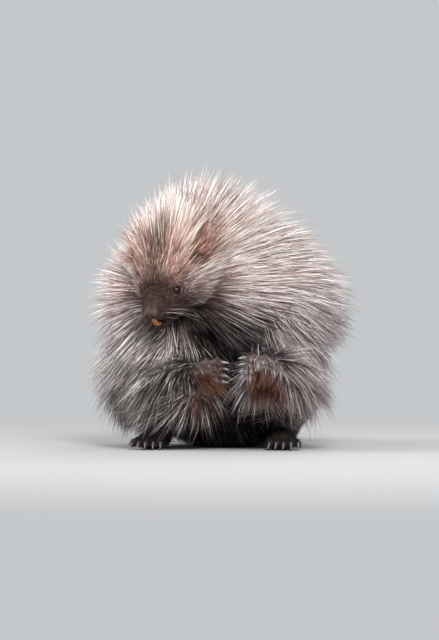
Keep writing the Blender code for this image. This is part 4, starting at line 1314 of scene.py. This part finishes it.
grow("whiskers", out, whisker_uv, path, rng.uniform(0.28, 0.42, len(at)), pale_part, HAIR, WHISKER, 0.9, "face")
print("coat triangles", coat_total[0])

# ---- skin's own finish -----------------------------------------------------------------
share = belonging(skin_p)
root, mid, tip, pale, much = markings(skin_p, skin_n, share)
tone = root * 0.8 + mid * 0.2
h = to_head(skin_p)
f, l, u = h[:, 0], np.abs(h[:, 1]), h[:, 2]


def paint(where, colour):
    global tone
    where = np.clip(where, 0, 1)[:, None]
    tone = tone * (1 - where) + np.array(colour) * where


paint(share["head"] * ramp(f, -6, 10), (0.026, 0.0125, 0.0105))
# nose pad, lips and the hollow of the mouth
paint(ramp(f, 33, 39) * (1 - ramp(l, 8, 12)) * ramp(u, -18.5, -15) * (1 - ramp(u, -4, 0)), (0.060, 0.038, 0.034))
lips = (f > 0) & (f < 40)
paint(lips * (1 - ramp(np.abs(u + 27.5), 2.5, 5.0)) * (1 - ramp(l, 10, 14)), (0.062, 0.030, 0.026))
paint(lips * (np.abs(u + 29.6) < 3.0) * (l < 8.6) * (f < 34), (0.085, 0.026, 0.022))
# lids: a bare dark rim, paler under the eye and at the front corner
for centre, look, ahead, above in EYES:
    d = skin_p - centre
    x, y, z = d @ ahead, d @ above, d @ look
    r = np.sqrt(x**2 + y**2)
    near = np.linalg.norm(d, axis=1) < 9.6
    paint(near * (z > 0) * (1 - ramp(r, 6.4, 8.4)), (0.022, 0.014, 0.012))
    paint(near * (z > 0) * (1 - ramp(np.abs(r - 6.5), 0.3, 0.8)) * ramp(-y, 0.2, 2.2), (0.230, 0.165, 0.150))
    paint(near * (z > 0) * (1 - ramp(np.hypot(x - 6.6, y + 1.8), 0.7, 1.6)), (0.190, 0.130, 0.118))
    paint((np.abs(y + 1.9 + 0.5 * (x - 6)) < 0.7) * (x > 6) * (x < 17) * (np.abs(z) < 9), (0.110, 0.076, 0.070))
# bare skin of the hands and soles
paint(share["hand"] * ramp(-skin_p[:, 1], 120, 132), (0.150, 0.098, 0.090))
paint(share["foot"] * ramp(-skin_n[:, 2], 0.2, 0.7), (0.075, 0.052, 0.047))
for c, r, axes in EARS:
    inner = np.linalg.norm(((skin_p - c) @ axes.T) / (r * np.array([1.7, 0.95, 0.95])), axis=1)
    paint(1 - ramp(inner, 0.8, 1.05), (0.060, 0.028, 0.022))
colour = np.ones((len(skin_p), 4), np.float32)
colour[:, :3] = tone
attr = skin.data.attributes.new("tone", "FLOAT_COLOR", "POINT")
attr.data.foreach_set("color", colour.ravel())
skin.data.materials.append(coat_material("skin", 0.50, 0.0, 0.2, bump=0.4, gloss=0.18))


# ---- horn, teeth and eyes ---------------------------------------------------------------
def swept(name, line, wide, deep, up, replaced, material, tones, sides=14, slant=None):
    """A closed solid of oval section swept along a curve, pointed or chisel-ended."""
    line = np.array(line, float)
    n = len(line)
    way = unit(np.gradient(line, axis=0))
    b = unit(np.cross(way, np.tile(up, (n, 1))))
    c = np.cross(b, way)
    a = np.arange(sides) / sides * 2 * np.pi
    ring = np.cos(a)[None, :, None] * b[:, None] * np.array(wide)[:, None, None]
    ring = ring + np.sin(a)[None, :, None] * c[:, None] * np.array(deep)[:, None, None]
    points = line[:, None] + ring
    if slant is not None:
        points[-1] += way[-1] * (np.sin(a) * slant)[:, None]
    points = np.concatenate([points.reshape(-1, 3), line[:1], line[-1:]])
    tris = []
    for i in range(n - 1):
        for k in range(sides):
            q, w = i * sides + k, i * sides + (k + 1) % sides
            tris += [(q, w, q + sides), (w, w + sides, q + sides)]
    for k in range(sides):
        w = (k + 1) % sides
        tris += [(n * sides, w, k), (n * sides + 1, (n - 1) * sides + k, (n - 1) * sides + w)]
    tris = np.array(tris)
    centre = points.mean(0)
    v = points[tris]
    if (np.cross(v[:, 1] - v[:, 0], v[:, 2] - v[:, 0]) * (v.mean(1) - centre)).sum() < 0:
        tris = tris[:, ::-1]
    obj = mesh_object(name, points, tris)
    tone = np.ones((len(points), 4), np.float32)
    t = np.concatenate([np.repeat(np.linspace(0, 1, n), sides), [0, 1]])
    where = np.array([q for q, _ in tones])
    for k in range(3):
        tone[:, k] = np.interp(t, where, [q[k] for _, q in tones])
    attr = obj.data.attributes.new("tone", "FLOAT_COLOR", "POINT")
    attr.data.foreach_set("color", tone.ravel())
    obj.data.materials.append(material)
    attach(obj, "root")
    if replaced:
        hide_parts(*replaced)
    return obj


def bent(a, bow, c, n=12):
    a, c = np.array(a, float), np.array(c, float)
    b = (a + c) / 2 + np.array(bow, float)
    t = np.linspace(0, 1, n)[:, None]
    return a * (1 - t) ** 2 + b * 2 * t * (1 - t) + c * t * t


HORN = coat_material("horn", 0.24, 0.0, 0.18, bump=0.08, gloss=0.55)
ENAMEL = coat_material("enamel", 0.22, 0.0, 0.14, bump=0.05, gloss=0.6)
HORN_TONES = ((0, (0.060, 0.052, 0.050)), (0.35, (0.085, 0.083, 0.088)), (0.8, (0.135, 0.135, 0.145)), (1, (0.19, 0.185, 0.19)))
FORE_TONES = ((0, (0.10, 0.098, 0.105)), (0.3, (0.21, 0.225, 0.25)), (0.8, (0.32, 0.345, 0.385)), (1, (0.40, 0.415, 0.44)))
thin_out = np.linspace(0, 1, 12)
for s, side in ((1, "l"), (-1, "r")):
    arm = ARMS[s]
    px, py, pz = arm["palm"]
    r = arm["reach"]
    for k, z in enumerate(FINGERS):
        tip = np.array([px + r * 16.0, py - 1.0, pz + z])
        a = tip + np.array([-r * 1.0, 0.2, -0.2])
        c = tip + np.array([r * (0.5 + CLAW_FORE * 0.80), 0.2 + CLAW_FORE * 0.42, -1.7 - 0.5 * k])
        swept(f"horn_fore_{side}{k + 1}", bent(a, (r * 1.6, -CLAW_FORE * 0.20, 1.2), c), 2.1 * (1 - thin_out**2.2) + 0.2,
              2.7 * (1 - thin_out**2.0) + 0.25, np.array([0, -1.0, 0.3]), [f"claw_fore_{side}{k + 1}"], HORN, FORE_TONES)
    ax = LEGS[s]["ankle"][0]
    for k, across in enumerate(TOES):
        reach = -101.0 + abs(across - s * 1.5) * 0.42
        tip = np.array([ax + s * 8 + across * 1.12, reach, 8.6])
        a = tip + np.array([0, 1.0, 0.2])
        c = tip + np.array([across * 0.10, -1.5 - 20.0 * 0.90, -6.6])
        swept(f"horn_hind_{side}{k + 1}", bent(a, (0, -1.0, 20.0 * 0.20), c), 1.95 * (1 - thin_out**1.8) + 0.2,
              2.6 * (1 - thin_out**1.6) + 0.22, np.array([0, 0.2, 1.0]), [f"claw_hind_{side}{k + 1}"], HORN, HORN_TONES)

TOOTH_TONES = ((0, (0.46, 0.22, 0.08)), (0.3, (0.54, 0.165, 0.030)), (0.85, (0.56, 0.19, 0.042)), (1, (0.62, 0.34, 0.15)))
grade = np.linspace(0, 1, 12)
for row, (a, bow, c, w, d) in {
    "upper": ((34.2, -19.0), 2.6, (32.6, -32.6), 1.75, 1.6),
    "lower": ((23.5, -40.0), 1.6, (28.2, -31.6), 1.45, 1.35),
}.items():
    made = []
    for s in (1, -1):
        line = bent(in_head(a[0], s * 1.95, a[1]), F_AX * bow, in_head(c[0], s * 1.75, c[1]))
        made.append(
            swept(f"tooth_{row}_{'l' if s > 0 else 'r'}", line, np.full(12, w) * (1 - 0.10 * grade**4), d * (1 - 0.55 * grade**2), F_AX,
                  [f"incisors_{row}"] if s > 0 else [], ENAMEL, TOOTH_TONES, 16, slant=0.8 if row == "upper" else -0.5)
        )

# eyes: dark, wet and domed, with a deep brown iris
EYE = coat_material("eye", 0.05, 0.0, 0.10, gloss=0.30)
for (centre, look, ahead, above), side in zip(EYES, "lr"):
    theta = np.linspace(0, np.pi, 41)
    phi = np.arange(48) / 48 * 2 * np.pi
    rad = EYE_RADIUS + 0.28 * np.exp(-((theta / 0.55) ** 2))
    ball_p = [centre + look * rad[0]]
    for th, ra in zip(theta[1:-1], rad[1:-1]):
        ball_p += [centre + ra * (look * math.cos(th) + math.sin(th) * (ahead * math.cos(q) + above * math.sin(q))) for q in phi]
    ball_p.append(centre - look * EYE_RADIUS)
    tris = [(0, 1 + k, 1 + (k + 1) % 48) for k in range(48)]
    for i in range(38):
        for k in range(48):
            a, b = 1 + i * 48 + k, 1 + i * 48 + (k + 1) % 48
            tris += [(a, a + 48, b), (b, a + 48, b + 48)]
    end = len(ball_p) - 1
    tris += [(end, end - 48 + (k + 1) % 48, end - 48 + k) for k in range(48)]
    ball_p, tris = np.array(ball_p), np.array(tris)
    v = ball_p[tris]
    if (np.cross(v[:, 1] - v[:, 0], v[:, 2] - v[:, 0]) * (v.mean(1) - centre)).sum() < 0:
        tris = tris[:, ::-1]
    obj = mesh_object(f"eyeball_{side}", ball_p, tris)
    angle = np.degrees(np.arccos(np.clip(unit(ball_p - centre) @ look, -1, 1)))
    tone = np.ones((len(ball_p), 4), np.float32)
    for k, (pupil, iris, white) in enumerate(((0.002, 0.022, 0.05), (0.0015, 0.011, 0.035), (0.0015, 0.007, 0.03))):
        tone[:, k] = np.interp(angle, [0, 20, 26, 46, 56, 180], [pupil, pupil, iris, iris * 0.7, pupil, white])
    attr = obj.data.attributes.new("tone", "FLOAT_COLOR", "POINT")
    attr.data.foreach_set("color", tone.ravel())
    obj.data.materials.append(EYE)
    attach(obj, "root")
    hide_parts(f"eye_{side}")

# ---- camera, lights and floor ---------------------------------------------------
CAMERA_TURN = math.radians(5.0)
LOOK = np.array([-math.sin(CAMERA_TURN), math.cos(CAMERA_TURN), 0.0])
RIGHT = np.array([math.cos(CAMERA_TURN), math.sin(CAMERA_TURN), 0.0])
aim = world(RIGHT * -7.4 + np.array([0, 0, 171.5]))
DISTANCE = 4.0
camera = bpy.data.cameras.new("camera")
camera_obj = bpy.data.objects.new("camera", camera)
bpy.context.scene.collection.objects.link(camera_obj)
camera.sensor_fit = "VERTICAL"
camera.sensor_height = 36.0
camera.lens = 36.0 * DISTANCE / 0.864
camera.clip_end = 50.0
camera_obj.location = Vector(aim - LOOK * DISTANCE)
axes = Matrix((Vector(RIGHT), Vector((0, 0, 1)), Vector(-LOOK))).transposed()
camera_obj.rotation_euler = axes.to_euler()
bpy.context.scene.camera = camera_obj

floor_mesh = bpy.data.meshes.new("floor")
bm = bmesh.new()
bmesh.ops.create_grid(bm, x_segments=1, y_segments=1, size=12.0)
bm.to_mesh(floor_mesh)
bm.free()
floor = bpy.data.objects.new("floor", floor_mesh)
bpy.context.scene.collection.objects.link(floor)
floor_mat = bpy.data.materials.new("floor")
floor_mat.use_nodes = True
BACKDROP = (0.56, 0.575, 0.59, 1)
nt = floor_mat.node_tree
plain = nt.nodes["Principled BSDF"]
plain.inputs["Base Color"].default_value = (0.378, 0.378, 0.374, 1)
plain.inputs["Roughness"].default_value = 0.8
plain.inputs["Specular IOR Level"].default_value = 0.2
# far from the animal the floor takes the tone of the backdrop
place = nt.nodes.new("ShaderNodeTexCoord")
away_from = nt.nodes.new("ShaderNodeVectorMath")
away_from.operation = "LENGTH"
nt.links.new(place.outputs["Object"], away_from.inputs[0])
fade = nt.nodes.new("ShaderNodeMapRange")
fade.interpolation_type = "SMOOTHSTEP"
fade.inputs["From Min"].default_value = 0.35
fade.inputs["From Max"].default_value = 1.6
nt.links.new(away_from.outputs["Value"], fade.inputs["Value"])
glow = nt.nodes.new("ShaderNodeEmission")
glow.inputs["Color"].default_value = BACKDROP
glow.inputs["Strength"].default_value = 1.0
blend = nt.nodes.new("ShaderNodeMixShader")
nt.links.new(fade.outputs["Result"], blend.inputs["Fac"])
nt.links.new(plain.outputs["BSDF"], blend.inputs[1])
nt.links.new(glow.outputs["Emission"], blend.inputs[2])
nt.links.new(blend.outputs["Shader"], nt.nodes["Material Output"].inputs["Surface"])
floor_mesh.materials.append(floor_mat)


def area_light(name, at, size, power, colour=(1, 1, 1), aim_at=(0, 0, 0.17)):
    data = bpy.data.lights.new(name, "AREA")
    data.shape = "DISK"
    data.size = size
    data.energy = power
    data.color = colour
    obj = bpy.data.objects.new(name, data)
    bpy.context.scene.collection.objects.link(obj)
    obj.location = at
    way = Vector(aim_at) - Vector(at)
    obj.rotation_euler = way.to_track_quat("-Z", "Y").to_euler()
    return obj


area_light("key", (0.45, -2.0, 1.55), 0.9, 62, (1.0, 0.985, 0.97))
area_light("fill", (1.8, -0.9, 0.8), 1.3, 18, (0.98, 0.985, 1.0))
area_light("side", (-1.8, -0.5, 1.1), 1.2, 36, (1.0, 0.99, 0.98))
area_light("back", (0.5, 1.5, 1.5), 1.2, 14, (1.0, 0.99, 0.97))
world_data = bpy.data.worlds.new("studio")
bpy.context.scene.world = world_data
world_data.use_nodes = True
world_data.node_tree.nodes["Background"].inputs["Color"].default_value = BACKDROP
world_data.node_tree.nodes["Background"].inputs["Strength"].default_value = 1.0
bpy.context.scene.view_settings.view_transform = "Standard"
